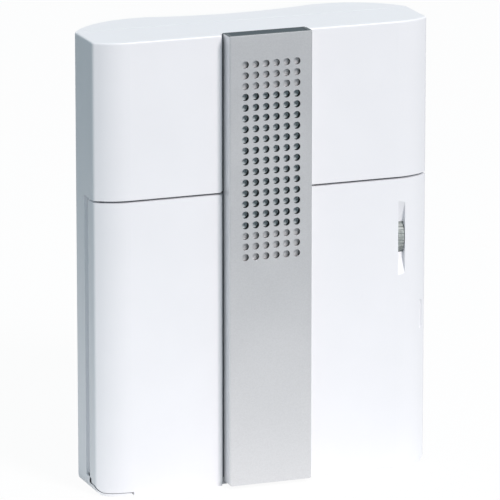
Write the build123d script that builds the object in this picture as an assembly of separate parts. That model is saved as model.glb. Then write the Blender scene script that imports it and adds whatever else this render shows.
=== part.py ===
from build123d import *
from math import pi, tan
import os

# Wall-mounted doorbell chime box: a moulded case with a pull-off service cover, a proud perforated strip
# over a loudspeaker, a thumbwheel for the volume, four cells and a circuit board.
# Frame in millimetres: +Z up, the front faces -Y and the wall plane is Y = 0.
# The origin is the centre of the cable collar's rear face, which lies on the wall.
# A "depth" is a distance in front of the wall, so a depth d is at Y = -d.

# Case
case_width = 140.0
case_height = 183.0
front_depth = 42.0
corner_depth = 37.0
roll_width = 14.0
corner_radius = 2.0
case_wall = 2.2
bottom_corner_radius = 4.0
top_edge_radius = 0.7
overrun = 5.0
tiny = 0.02

# Rear tray
seam_depth = 17.0
seam_chamfer = 0.35
wall_contact_inset = 30.0
wall_contact_width = 5.0
scoop_depth = 4.6
lip_gap = 0.5
lip_thickness = 1.4
lip_reach = 2.5
lip_root = 2.0
collar_radius = 14.0
collar_bore_radius = 10.5
collar_front = 9.0
screw_slot_length = 9.0
screw_slot_width = 4.5
screw_boss_radius = 7.0
top_slot_drop = 15.5
top_boss_front = 4.2
low_hole_rise = 25.5
low_boss_front = 9.0
post_radius = 3.0
post_foot_depth = 1.0

# Split between the housing and the service cover
split_below_speaker = 13.7
split_gap = 0.9
cover_gap = 0.3

# Housing
rail_depth = 26.7
rebate_inset = 1.9
rebate_thickness = 1.5
rebate_root = 4.7
rebate_front = 34.5
rim_length = 14.7
rim_height = 1.3
pry_slot_height = 6.0
pry_slot_from = 30.6
pry_slot_to = 32.8
pry_blade_thickness = 0.8
pry_blade_edge = 0.2
pry_blade_root = 22.0
rim_notch = 0.8
ear_half_width = 5.0
ear_height = 10.0
ear_thickness = 2.2
ear_screw_rise = 9.0

# Channel for the strip
channel_half = 18.2
channel_depth = 39.7
channel_corner_radius = 0.9

# Baffle that carries the speaker, and its lower bib behind the service cover
baffle_front = 37.3
baffle_thickness = 2.2
baffle_margin = 7.5
baffle_rise = 38.3
baffle_drop = 33.7
bib_drop = 27.7
bib_inset = 5.0
shelf_thickness = 2.0
baffle_rib = 2.0

# Service cover
skirt_depth = 31.2
skirt_thickness = 1.6
skirt_relief_depth = 35.8
rail_seat_step = 0.2
prong_inset = 25.0
prong_drop = 8.0
prong_width = 8.0
prong_thickness = 2.0
prong_back = 31.0
prong_clearance = 0.3
tongue_x = 30.0
tongue_width = 10.0
tongue_thickness = 1.6
tongue_back = 21.0
tongue_clearance = 0.4
nick_inset = 2.5
nick_width = 1.05
nick_length = 11.6
nick_below_wheel = 27.0
nick_floor_depth = 38.2

# Perforated strip, its rail and the cloth
strip_front = 48.5
strip_half = 17.35
strip_back = 41.5
strip_top_rise = 0.5
strip_bottom_rise = 1.3
strip_wall = 1.6
strip_face = 2.0
strip_edge_radius = 0.8
strip_corner_radius = 1.0
hole_spacing = 4.3
hole_diameter = 2.9
hole_column_count = 6
hole_row_count = 19
blind_row_count = 3
first_row_drop = 11.1
blind_hole_depth = 1.5
strip_rib_thickness = 1.5
strip_rib_count = 3
strip_rib_margin = 10.2
strip_rib_below_window = 18.8
rail_front = 43.0
rail_half = 15.6
rail_flange_half = 17.1
rail_flange_front = 41.3
rail_top_rise = 0.4
rail_bottom_rise = 3.0
rail_block_height = 5.0
rail_block_gap = 0.2
window_half = 13.5
window_margin = 0.65
cloth_overlap = 1.7
cloth_thickness = 0.4
rail_screw_count = 3
rail_screw_margin = 8.5
rail_screw_below_baffle = 28.0
rail_screw_reach = 4.6

# Speaker
basket_radius = 28.5
basket_flange_width = 3.5
basket_sheet = 0.8
gasket_margin = 0.2
gasket_width = 1.8
gasket_thickness = 0.8
basket_throat_radius = 15.5
basket_depth = 11.8
basket_hole_radius = 9.0
basket_window_radius = 4.0
basket_window_count = 6
lug_board_half = 6.0
lug_board_thickness = 1.2
lug_board_drop = 5.2
lug_board_x = 12.0
top_plate_radius = 15.0
top_plate_bore_radius = 7.4
top_plate_thickness = 2.0
magnet_radius = 16.0
magnet_bore_radius = 9.0
magnet_thickness = 6.0
yoke_thickness = 2.0
pole_radius = 6.3
coil_radius = 7.1
coil_thickness = 0.4
coil_reach = 7.0
cone_thickness = 0.5
cone_margin = 4.5
cone_neck_drop = 7.0
cap_radius = 7.6
cap_rise = 2.6
cap_thickness = 0.4
surround_width = 4.0
surround_rim_width = 1.4
surround_gap = 0.1
surround_thickness = 0.4
clip_screw_margin = 4.0
clip_length = 9.0
clip_width = 6.0
clip_thickness = 1.0
clip_first_angle = 90.0
clip_count = 3
clip_post_radius = 3.0
speaker_screw_reach = 3.6

# Screws
screw_shank_radius = 1.2
screw_head_radius = 2.4
screw_head_height = 1.6
screw_clearance = 0.05
screw_hole_radius = 1.6
screw_slot = 0.7
screw_slot_sink = 0.6
screw_tip_gap = 0.2

# Circuit board
board_gap = 15.5
board_inset = 6.5
board_top_above_wheel = 4.7
board_bottom_rise = 7.5
board_front = 22.0
board_thickness = 1.6
board_notch_right = 17.0
board_notch_bottom = -17.0
board_screw_margin = 5.0
board_top_screw_gap = 8.1
board_screw_reach = 7.0

# Terminal block
terminal_margin = 1.5
terminal_width = 11.0
terminal_screw_drop = 7.0
terminal_post_margin = 2.5
terminal_top = -19.0
terminal_pitch = 5.0
terminal_count = 5
terminal_height = 10.5
terminal_step = 4.0
terminal_wire_radius = 1.5
terminal_wire_height = 3.2
terminal_wire_reach = 7.0
terminal_screw_radius = 1.9
terminal_screw_length = 4.5
terminal_screw_sink = 1.2
terminal_screw_inset = 6.8

# Parts on the board
tone_chip_place_share = (0.6, 0.587)
tone_chip_size = (9.0, 18.0)
tone_chip_legs = 7
amplifier_place_share = (0.532, 0.239)
amplifier_size = (7.0, 9.6)
amplifier_legs = 4
chip_height = 3.4
chip_standoff = 0.6
leg_pitch = 2.54
leg_width = 0.6
leg_thickness = 0.35
leg_reach = 1.2
rectifier_place_share = (0.2385, 0.174)
rectifier_size = 8.5
rectifier_height = 4.5
rectifier_chamfer = 1.6
supply_capacitor_place_share = (0.8165, 0.228)
supply_capacitor_radius = 5.0
supply_capacitor_height = 13.0
output_capacitor_place_share = (0.807, 0.424)
output_capacitor_radius = 4.0
output_capacitor_height = 10.0
capacitor_groove_radius = 0.4
capacitor_groove_height = 1.6
resistor_place_shares = ((0.83, 0.79), (0.83, 0.745), (0.83, 0.7), (0.5, 0.08))
resistor_radius = 1.1
resistor_length = 6.2
resistor_leg_radius = 0.3
resistor_span = 10.0

# Volume control
wheel_inset = 12.0
wheel_below_split = 24.7
wheel_radius = 8.5
wheel_thickness = 2.4
wheel_front = 41.8
wheel_rib_count = 36
wheel_rib_radius = 0.35
wheel_bore_gap = 0.06
pot_shaft_radius = 1.5
pot_shaft_reach = 0.4
pot_width = 4.4
pot_half = 3.9
pot_gap = 0.3
pot_bracket_width = 1.5
pot_bracket_half = 3.4
scoop_width = 3.0
scoop_radius = 40.0
scoop_sink = 3.0
scoop_pad_half_width = 4.0
scoop_pad_half_height = 18.0
scoop_pad_thickness = 1.4
wheel_hole_gap = 0.3

# Tone switch
switch_place_share = (0.385, 0.8207)
switch_length = 8.6
switch_width = 4.4
switch_height = 4.6
switch_slot_length = 5.6
switch_slot_width = 2.2
switch_slot_sink = 1.4
slider_length = 2.4
slider_height = 3.6
slider_clearance = 0.15
slider_travel = 2.5

# Batteries
battery_inset = 7.5
battery_mid_rise = 37.5
battery_floor_depth = 12.0
battery_box_height = 12.5
battery_box_wall = 1.2
cell_count = 4
cell_pitch = 14.7
cell_radius = 7.1
cell_length = 50.0
cell_nub_length = 1.3
cell_nub_radius = 2.7
cell_edge_radius = 0.8
cell_seat_gap = 0.2
cell_end_slack = 0.5
cell_divider = 0.5
cell_divider_height = 4.0
contact_sheet = 0.4
contact_half = 4.2
leaf_rise = 2.3
battery_foot_inset = 8.0

# Leads inside the case
lead_diameter = 1.3
lead_run_share = 0.45
lead_stub = 3.0
lead_hop_depth = 25.2
speaker_lead_inset = 3.0
speaker_lead_spread = 5.5
speaker_lead_ends_share = ((0.284, 0.88), (0.202, 0.848))
battery_lead_depth = 21.0
battery_lead_starts = (7.0, 1.0)
battery_lead_ends = ((-7.5, 6.5), (-9.4, -3.0))

# Sizes worked out from the ones above
half_width = case_width / 2
half_height = case_height / 2
open_row_count = hole_row_count - 2 * blind_row_count
first_row_z = half_height - first_row_drop
row_high_z = first_row_z - blind_row_count * hole_spacing
row_low_z = row_high_z - (open_row_count - 1) * hole_spacing
speaker_z = (row_low_z + row_high_z) / 2
split_z = speaker_z - split_below_speaker
wall_contact_half = half_width - wall_contact_inset
scoop_half = wall_contact_half - wall_contact_width
top_slot_spacing = 2 * wall_contact_half - wall_contact_width
top_slot_z = half_height - top_slot_drop
low_hole_z = low_hole_rise - half_height
rim_end = half_width - rim_length
pry_slot_top = pry_slot_height - half_height
ear_screw_z = ear_screw_rise - half_height
baffle_half = basket_radius + baffle_margin
baffle_top = speaker_z + baffle_rise
baffle_bottom = speaker_z - baffle_drop
bib_bottom = speaker_z - bib_drop
bib_half = half_width - bib_inset
prong_x = half_width - prong_inset
prong_z = split_z - prong_drop
strip_top = half_height + strip_top_rise
strip_bottom = strip_bottom_rise - half_height
rail_top = half_height + rail_top_rise
rail_bottom = rail_bottom_rise - half_height
front_inner_depth = front_depth - case_wall
split_top = split_z + split_gap / 2
split_bottom = split_z - split_gap / 2
baffle_back = baffle_front - baffle_thickness
cover_channel_depth = channel_depth + rail_seat_step
cover_channel_back = cover_channel_depth - case_wall
board_back = board_front - board_thickness
window_bottom = row_low_z - hole_diameter / 2 - window_margin
window_top = row_high_z + hole_diameter / 2 + window_margin
flange_front = baffle_back - gasket_thickness
flange_back = flange_front - basket_sheet
basket_seat = flange_front - basket_depth
top_plate_back = basket_seat - top_plate_thickness
magnet_back = top_plate_back - magnet_thickness
yoke_back = magnet_back - yoke_thickness
cone_rim_depth = flange_front
cone_neck_depth = cone_rim_depth - cone_neck_drop
basket_shoulder_radius = basket_radius - basket_flange_width
gasket_outer_radius = basket_radius - gasket_margin
gasket_inner_radius = gasket_outer_radius - gasket_width
surround_rim_radius = basket_shoulder_radius + surround_rim_width
cone_outer_radius = basket_shoulder_radius - cone_margin
basket_window_ring_radius = (basket_shoulder_radius + basket_throat_radius + basket_sheet) / 2
clip_ring_radius = basket_radius + clip_screw_margin
wheel_x = half_width - wheel_inset
wheel_z = split_z - wheel_below_split
wheel_depth = wheel_front - wheel_radius
nick_x = half_width - nick_inset
nick_top = wheel_z - nick_below_wheel
pot_right = wheel_x - wheel_thickness / 2 - pot_gap
pot_left = pot_right - pot_width
battery_left = battery_inset - half_width
battery_length = cell_length + leaf_rise + cell_end_slack + 2 * (contact_sheet + battery_box_wall)
battery_right = battery_left + battery_length
battery_mid_z = battery_mid_rise - half_height
board_left = battery_right + board_gap
board_right = half_width - board_inset
board_top = wheel_z + board_top_above_wheel
board_bottom = board_bottom_rise - half_height
terminal_left = board_left + terminal_margin
terminal_bottom = terminal_top - terminal_count * terminal_pitch
board_screw_places = (
    (board_left + board_screw_margin, board_bottom + board_screw_margin),
    (board_right - board_screw_margin, board_bottom + board_screw_margin),
    (terminal_left + terminal_post_margin, terminal_bottom - terminal_screw_drop),
    (pot_left - board_top_screw_gap, board_top - board_screw_margin),
)
ear_back = seam_depth + lip_reach + lip_gap


def on_board(place_share):
    """The x and z of a place on the board, given as shares of its width and height."""
    across, up = place_share
    return board_left + across * (board_right - board_left), board_bottom + up * (board_top - board_bottom)


def slab(x_from, x_to, depth_from, depth_to, z_from, z_to):
    """A box between two x values, two depths and two heights."""
    middle = Pos((x_from + x_to) / 2, -(depth_from + depth_to) / 2, (z_from + z_to) / 2)
    return middle * Box(x_to - x_from, depth_to - depth_from, z_to - z_from)


def raised(sketch, depth_from, depth_to):
    """A front-view sketch in x and z, made solid between two depths."""
    return extrude(Plane.XZ.offset(depth_from) * sketch, amount=depth_to - depth_from)


def rod(x, z, radius, depth_from, depth_to):
    """A round bar that runs straight out from the wall."""
    return raised(Pos(x, z) * Circle(radius), depth_from, depth_to)


def cross_rod(x_from, x_to, depth, z, radius):
    """A round bar that runs from left to right."""
    return extrude(Plane.YZ.offset(x_from) * Pos(-depth, z) * Circle(radius), amount=x_to - x_from)


def turned(profile):
    """A profile of radius and depth, turned about the speaker's axis."""
    profile_plane = Plane(origin=(0, 0, speaker_z), x_dir=(1, 0, 0), z_dir=(0, 0, -1))
    return revolve(profile_plane * profile, axis=Axis((0, 0, speaker_z), (0, -1, 0)))


def turned_ring(radius_in, radius_out, depth_from, depth_to):
    """A plain ring or disc on the speaker's axis."""
    corners = [(radius_in, depth_from), (radius_out, depth_from), (radius_out, depth_to), (radius_in, depth_to)]
    return turned(make_face(Polyline(*corners, close=True)))


def screw(x, z, head_back, reach):
    """A pan-head screw whose head bears at head_back; reach runs towards the wall, or away if negative."""
    away = 1 if reach > 0 else -1
    head_top = head_back + away * screw_head_height
    head = rod(x, z, screw_head_radius, min(head_back, head_top), max(head_back, head_top))
    shank = rod(x, z, screw_shank_radius, min(head_back, head_back - reach), max(head_back, head_back - reach))
    slot_floor = head_top - away * screw_slot_sink
    slot_half = screw_head_radius + overrun
    slot = slab(
        x - slot_half, x + slot_half, min(slot_floor, head_top), max(slot_floor, head_top),
        z - screw_slot / 2, z + screw_slot / 2,
    )
    return head + shank - slot


def case_plan():
    """The case seen from above: flat front, rolled corners, straight sides, curved back with a scoop."""
    flat = half_width - roll_width
    edges = [
        Line((-flat, -front_depth), (flat, -front_depth)),
        Line((-wall_contact_half, 0), (-scoop_half, 0)),
        Line((scoop_half, 0), (wall_contact_half, 0)),
        ThreePointArc((-scoop_half, 0), (0, -scoop_depth), (scoop_half, 0)),
    ]
    for side in (-1, 1):
        edges.append(
            TangentArc((side * flat, -front_depth), (side * half_width, -corner_depth), tangent=(side, 0))
        )
        edges.append(Line((side * half_width, -corner_depth), (side * half_width, -seam_depth)))
        edges.append(
            TangentArc((side * wall_contact_half, 0), (side * half_width, -seam_depth), tangent=(side, 0))
        )
    plan = make_face(edges)
    corners = plan.vertices().filter_by_position(Axis.Y, -corner_depth - tiny, -corner_depth + tiny)
    return fillet(corners, radius=corner_radius)


def case_elevation(inset, top_radius=top_edge_radius):
    """The case seen from the front, drawn inset from its outside."""
    outline = Rectangle(case_width - 2 * inset, case_height - 2 * inset)
    if inset < bottom_corner_radius:
        outline = fillet(outline.vertices().group_by(Axis.Y)[0], radius=bottom_corner_radius - inset)
    if inset < top_radius:
        outline = fillet(outline.vertices().group_by(Axis.Y)[-1], radius=top_radius - inset)
    return outline


def case_block(inset, top_radius=top_edge_radius):
    """The whole case as one block, drawn inset from its outside on every face."""
    plan = offset(case_plan(), amount=-inset, kind=Kind.INTERSECTION) if inset > 0 else case_plan()
    block = extrude(Pos(0, 0, -half_height) * plan, amount=case_height, dir=(0, 0, 1))
    return block & raised(case_elevation(inset, top_radius), 0, front_depth)


def whole_height(depth_from, depth_to):
    """A slab over the whole case between two depths."""
    far = half_width + overrun
    high = half_height + overrun
    return slab(-far, far, depth_from, depth_to, -high, high)


def seam_edges(solid):
    """The outer edges of the face that lies on the seam between tray and housing."""
    on_seam = solid.faces().filter_by_position(Axis.Y, -seam_depth - tiny, -seam_depth + tiny)
    return on_seam.sort_by(SortBy.AREA)[-1].outer_wire().edges()


def cover_outline(grow):
    """The service cover seen from the front: its lower left corner stands on the housing's rim."""
    left = Pos(0, (split_bottom - half_height + rim_height) / 2) * Rectangle(
        case_width, split_bottom + half_height - rim_height
    )
    left = fillet(left.vertices().group_by(Axis.Y)[0], radius=bottom_corner_radius)
    right = Pos((half_width - rim_end) / 2, (split_bottom - half_height) / 2) * Rectangle(
        half_width + rim_end, split_bottom + half_height
    )
    right = fillet(right.vertices().group_by(Axis.Y)[0].sort_by(Axis.X)[-1:], radius=bottom_corner_radius)
    keep_left = Pos(-half_width, 0) * Rectangle(case_width, 2 * case_height)
    outline = (left & keep_left) + right
    return offset(outline, amount=grow, kind=Kind.INTERSECTION) if grow > 0 else outline


def wall_tray():
    tray = case_block(0) & whole_height(0, seam_depth)
    tray -= case_block(case_wall)
    for inset, depth_from, depth_to in (
        (case_wall - lip_gap, seam_depth - lip_root, seam_depth),
        (case_wall + lip_gap, seam_depth, seam_depth + lip_reach),
    ):
        lip = case_elevation(inset) - case_elevation(case_wall + lip_gap + lip_thickness)
        tray += raised(lip, depth_from, depth_to)
    for x in (-top_slot_spacing / 2, top_slot_spacing / 2):
        tray += rod(x, top_slot_z, screw_boss_radius, 0, top_boss_front)
        slot = Pos(x, top_slot_z) * SlotOverall(screw_slot_length, screw_slot_width)
        tray -= raised(slot, -overrun, top_boss_front + overrun)
    tray += rod(0, low_hole_z, screw_boss_radius, 0, low_boss_front)
    tray -= rod(0, low_hole_z, screw_slot_width / 2, -overrun, low_boss_front + overrun)
    for x, z in board_screw_places:
        tray += rod(x, z, post_radius, post_foot_depth, board_back)
        tray -= rod(x, z, screw_shank_radius + screw_clearance, board_front - board_screw_reach - screw_tip_gap,
                    board_front)
    for x, z in battery_feet():
        tray += rod(x, z, post_radius, post_foot_depth, battery_floor_depth)
    tray += rod(0, ear_screw_z, post_radius, post_foot_depth, ear_back)
    screw_tip = ear_back + ear_thickness - board_screw_reach - screw_tip_gap
    tray -= rod(0, ear_screw_z, screw_shank_radius + screw_clearance, screw_tip, ear_back + tiny)
    tray &= case_block(0)
    tray += rod(0, 0, collar_radius, 0, collar_front)
    return tray - rod(0, 0, collar_bore_radius, -overrun, collar_front + overrun)


def battery_feet():
    """Places of the posts that carry the battery box."""
    reach = cell_count * cell_pitch / 2 - battery_foot_inset
    xs = (battery_left + battery_foot_inset, battery_right - battery_foot_inset)
    return [(x, battery_mid_z + end * reach) for x in xs for end in (-1, 1)]


def channel_floor(back, front, z_from, z_to):
    """The floor and side roots of the strip's channel, behind a front wall."""
    return slab(-channel_half - case_wall, channel_half + case_wall, back, front, z_from, z_to)


def round_channel_corners(solid, z):
    """Rounds the two corners where the split line meets the strip's channel."""
    corners = [
        edge for edge in solid.edges().filter_by(Axis.Y)
        if abs(edge.center().Z - z) < tiny and abs(abs(edge.center().X) - channel_half) < tiny
    ]
    return fillet(corners, radius=channel_corner_radius)


def housing():
    outer = case_block(0, top_radius=0) & whole_height(seam_depth, front_depth)
    top_face = outer.faces().sort_by(Axis.Z)[-1]
    top_edges = [edge for edge in top_face.edges() if edge.center().Y < -seam_depth - tiny]
    outer = fillet(top_edges, radius=top_edge_radius)
    outer = chamfer(seam_edges(outer), length=seam_chamfer)
    shell = outer - case_block(case_wall)
    far = half_width + overrun
    shell -= slab(-far, far, rail_depth, front_depth + overrun, -half_height - overrun, split_top)
    inner_top = half_height - case_wall
    shelf_top = split_top + shelf_thickness
    shelf = slab(-half_width, half_width, baffle_back, front_depth, split_top, shelf_top)
    shell += shelf & case_block(case_wall / 2)
    shell += slab(-bib_half, bib_half, baffle_back, baffle_front, bib_bottom, shelf_top)
    shell += slab(-baffle_half, baffle_half, baffle_back, baffle_front, baffle_bottom, baffle_top)
    shell += channel_floor(baffle_front, front_inner_depth, split_top, inner_top)
    for side in (-1, 1):
        inner_edge = side * (baffle_half - baffle_rib)
        outer_edge = side * baffle_half
        shell += slab(min(inner_edge, outer_edge), max(inner_edge, outer_edge), baffle_front, front_inner_depth,
                      split_top, baffle_top)
        foot = pry_slot_top if side < 0 else -half_height + case_wall
        rebate_in = side * (half_width - rebate_inset - rebate_thickness)
        rebate_out = side * (half_width - rebate_inset)
        shell += slab(min(rebate_in, rebate_out), max(rebate_in, rebate_out), rail_depth - rebate_root,
                      rebate_front, foot, split_top)
        shell -= raised(
            Pos(side * prong_x, prong_z)
            * Rectangle(prong_width + 2 * prong_clearance, prong_thickness + 2 * prong_clearance),
            baffle_back - overrun, baffle_front + tiny,
        )
    shell -= slab(-channel_half, channel_half, channel_depth, front_depth + overrun, split_z - overrun,
                  half_height + overrun)
    shell -= rod(0, speaker_z, basket_shoulder_radius, baffle_back - tiny, baffle_front)
    shell -= slab(-window_half, window_half, baffle_back - tiny, channel_depth + tiny, split_top, window_top)
    shell = round_channel_corners(shell, split_top)
    shell -= case_block(pry_blade_thickness) & slab(
        -half_width, -half_width + bottom_corner_radius, pry_blade_root, rail_depth + tiny,
        -half_height + case_wall, pry_slot_top,
    )
    shell += lower_left_rim()
    for x, z in clip_places():
        shell += rod(x, z, clip_post_radius, flange_back, baffle_back)
        shell -= rod(x, z, screw_shank_radius + screw_clearance, flange_back - tiny,
                     flange_back - clip_thickness + speaker_screw_reach + screw_tip_gap)
    ear = slab(-ear_half_width, ear_half_width, ear_back, ear_back + ear_thickness,
               -half_height + case_wall - tiny, -half_height + case_wall + ear_height)
    ear -= rod(0, ear_screw_z, screw_hole_radius, ear_back - tiny, ear_back + ear_thickness + tiny)
    return shell + ear


def lower_left_rim():
    """The thin rim of the housing under the service cover's lower left corner."""
    corner = slab(-half_width, -rim_end - rim_notch, rail_depth - tiny, front_depth, -half_height, pry_slot_top)
    rim = case_block(0) & corner
    rim -= raised(cover_outline(cover_gap), rail_depth - overrun, front_depth + overrun)
    blade_plan = Polygon(
        (-half_width, -rail_depth + tiny), (-half_width + pry_blade_thickness, -rail_depth + tiny),
        (-half_width + pry_blade_edge, -pry_slot_from), (-half_width, -pry_slot_from), align=None,
    )
    blade = extrude(Pos(0, 0, -half_height) * blade_plan, amount=pry_slot_height, dir=(0, 0, 1))
    return rim + (case_block(0) & blade)


def clip_places():
    """Centres of the screws that hold the speaker's clips."""
    spots = PolarLocations(clip_ring_radius, clip_count, start_angle=clip_first_angle)
    return [(spot.position.X, speaker_z + spot.position.Y) for spot in spots]


def lower_cover():
    low = -half_height
    body = case_block(0) & raised(cover_outline(0), rail_depth + cover_gap, front_depth)
    body -= case_block(case_wall) & whole_height(0, front_inner_depth)
    relief = half_width - skirt_thickness
    body -= slab(-relief, relief, 0, skirt_relief_depth, low + case_wall, split_z + overrun)
    far = half_width + overrun
    body -= slab(-far, -relief + tiny, 0, skirt_depth, pry_slot_top, split_z)
    body -= slab(relief - tiny, far, 0, skirt_depth, low + bottom_corner_radius, split_z)
    body -= slab(-far, -rim_end, 0, pry_slot_to, low - overrun, pry_slot_top + tiny)
    body += channel_floor(cover_channel_back, front_inner_depth, low + case_wall, split_bottom)
    body -= slab(-channel_half, channel_half, cover_channel_depth, front_depth + overrun, low - overrun,
                 split_z + overrun)
    body = round_channel_corners(body, split_bottom)
    body -= slab(-window_half, window_half, 0, front_depth, window_bottom, split_z)
    body += slab(wheel_x - scoop_pad_half_width, wheel_x + scoop_pad_half_width,
                 front_inner_depth - scoop_pad_thickness, front_inner_depth,
                 wheel_z - scoop_pad_half_height, wheel_z + scoop_pad_half_height)
    body -= cross_rod(wheel_x - scoop_width / 2, wheel_x + scoop_width / 2,
                      front_depth + scoop_radius - scoop_sink, wheel_z, scoop_radius)
    body -= cross_rod(wheel_x - scoop_width / 2, wheel_x + scoop_width / 2, wheel_front - wheel_radius, wheel_z,
                      wheel_radius + wheel_hole_gap)
    body -= slab(nick_x - nick_width / 2, nick_x + nick_width / 2, nick_floor_depth, front_depth,
                 nick_top - nick_length, nick_top)
    for side in (-1, 1):
        prong = Pos(side * prong_x, prong_z) * Rectangle(prong_width, prong_thickness)
        body += raised(prong, prong_back, front_inner_depth + tiny)
        tongue_mid_z = low + case_wall + tongue_clearance + tongue_thickness / 2
        tongue = Pos(side * tongue_x, tongue_mid_z) * Rectangle(tongue_width, tongue_thickness)
        body += raised(tongue, tongue_back, front_inner_depth + tiny)
    for z in rail_screw_heights():
        body -= rod(0, z, screw_hole_radius, cover_channel_back - tiny, cover_channel_depth + tiny)
    return body


def spread(low, high, count):
    """Heights at even steps from low to high."""
    return [low + (high - low) * step / (count - 1) for step in range(count)]


def rail_screw_heights():
    return spread(rail_bottom + rail_screw_margin, baffle_bottom - rail_screw_below_baffle, rail_screw_count)


def strip_rib_heights():
    """Heights of the strip's inner ribs: some below the window, and one between its two top rows."""
    ribs = spread(strip_bottom + strip_rib_margin, window_bottom - strip_rib_below_window, strip_rib_count)
    return ribs + [first_row_z - hole_spacing / 2]


def grille_strip():
    flange_inner = strip_half - strip_wall
    mid = (strip_front + strip_back) / 2
    outer = Pos(0, -mid) * Rectangle(2 * strip_half, strip_front - strip_back)
    outer = fillet(outer.vertices().group_by(Axis.Y)[0], radius=strip_edge_radius)
    bore_front = strip_front - strip_face
    section = outer - Pos(0, -(bore_front + strip_back - overrun) / 2) * Rectangle(
        2 * flange_inner, bore_front - strip_back + overrun
    )
    strip = extrude(Pos(0, 0, strip_bottom) * section, amount=strip_top - strip_bottom, dir=(0, 0, 1))
    outline = Pos(0, (strip_top + strip_bottom) / 2) * Rectangle(2 * strip_half, strip_top - strip_bottom)
    outline = fillet(outline.vertices().group_by(Axis.Y)[0], radius=strip_corner_radius)
    strip &= raised(outline, strip_back, strip_front)
    for z in strip_rib_heights():
        strip += slab(-flange_inner, flange_inner, rail_front, bore_front, z - strip_rib_thickness / 2,
                      z + strip_rib_thickness / 2)
    rows = Pos(0, speaker_z) * GridLocations(hole_spacing, hole_spacing, hole_column_count, hole_row_count)
    blind = Sketch() + [spot * Circle(hole_diameter / 2) for spot in rows]
    strip -= raised(blind, strip_front - blind_hole_depth, strip_front)
    open_rows = Pos(0, speaker_z) * GridLocations(hole_spacing, hole_spacing, hole_column_count, open_row_count)
    through = Sketch() + [spot * Circle(hole_diameter / 2) for spot in open_rows]
    return strip - raised(through, bore_front - tiny, strip_front)


def strip_rail():
    rail = slab(-rail_half, rail_half, cover_channel_depth, rail_front, rail_bottom, rail_top)
    rail += slab(-rail_flange_half, rail_flange_half, cover_channel_depth, rail_flange_front, rail_bottom, rail_top)
    rail -= slab(-window_half, window_half, cover_channel_depth - tiny, rail_front + tiny, window_bottom, window_top)
    block_front = strip_front - strip_face - rail_block_gap
    for low in (rail_bottom, rail_top - rail_block_height):
        rail += slab(-rail_half, rail_half, rail_front - tiny, block_front, low, low + rail_block_height)
    for z in rail_screw_heights():
        rail -= rod(0, z, screw_shank_radius + screw_clearance, cover_channel_depth - tiny,
                    cover_channel_back + rail_screw_reach + screw_tip_gap)
    return rail


def speaker_cloth():
    half = window_half + cloth_overlap
    seat = strip_front - strip_face
    return slab(-half, half, seat - cloth_thickness, seat, window_bottom - cloth_overlap, window_top + cloth_overlap)


def rail_screws():
    return [screw(0, z, cover_channel_back, -rail_screw_reach) for z in rail_screw_heights()]


def speaker_basket():
    """Pressed frame: a flat flange, a windowed cone and a seat for the magnet."""
    shoulder = basket_shoulder_radius
    profile = Polyline(
        (basket_radius, flange_back), (basket_radius, flange_front), (shoulder, flange_front),
        (basket_throat_radius, basket_seat + basket_sheet), (basket_hole_radius, basket_seat + basket_sheet),
        (basket_hole_radius, basket_seat), (basket_throat_radius + basket_sheet / 2, basket_seat),
        (shoulder + basket_sheet / 2, flange_back), close=True,
    )
    basket = turned(make_face(profile))
    windows = PolarLocations(basket_window_ring_radius, basket_window_count)
    for spot in windows:
        basket -= rod(spot.position.X, speaker_z + spot.position.Y, basket_window_radius,
                      basket_seat + basket_sheet, flange_back)
    lug_top = speaker_z - basket_throat_radius - lug_board_drop
    return basket + lug_board(lug_top)


def lug_board(top):
    """The small board under the basket's edge that the leads are soldered to."""
    front = flange_back
    drop = basket_radius - basket_throat_radius - lug_board_drop
    return slab(lug_board_x - lug_board_half, lug_board_x + lug_board_half, front - lug_board_thickness, front,
                top - drop, top)


def speaker_gasket():
    return turned_ring(gasket_inner_radius, gasket_outer_radius, flange_front, baffle_back)


def speaker_top_plate():
    return turned_ring(top_plate_bore_radius, top_plate_radius, top_plate_back, basket_seat)


def speaker_magnet():
    return turned_ring(magnet_bore_radius, magnet_radius, magnet_back, top_plate_back)


def speaker_yoke():
    disc = turned_ring(0, top_plate_radius, yoke_back, magnet_back)
    return disc + turned_ring(0, pole_radius, magnet_back, basket_seat)


def voice_coil():
    back = cone_neck_depth - coil_reach
    return turned_ring(coil_radius - coil_thickness, coil_radius, back, cone_neck_depth)


def speaker_cone():
    profile = Polyline(
        (coil_radius - coil_thickness, cone_neck_depth), (coil_radius + cone_thickness, cone_neck_depth),
        (cone_outer_radius, cone_rim_depth - cone_thickness), (cone_outer_radius, cone_rim_depth),
        (coil_radius - coil_thickness, cone_neck_depth + cone_thickness), close=True,
    )
    return turned(make_face(profile))


def dust_cap():
    """A shallow dome that stands on the cone over its coil."""
    cone_rise = cone_neck_drop - cone_thickness
    cone_run = cone_outer_radius - coil_radius + coil_thickness
    foot = cone_neck_depth + cone_thickness + (cap_radius - coil_radius + coil_thickness) * cone_rise / cone_run
    dome_radius = (cap_radius ** 2 + cap_rise ** 2) / (2 * cap_rise)
    shell = Pos(0, foot + cap_rise - dome_radius) * (Circle(dome_radius) - Circle(dome_radius - cap_thickness))
    kept_height = cap_rise + cone_thickness
    kept = Pos(cap_radius / 2, foot + cap_rise - kept_height / 2) * Rectangle(cap_radius, kept_height)
    return turned(shell & kept) - speaker_cone()


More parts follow.
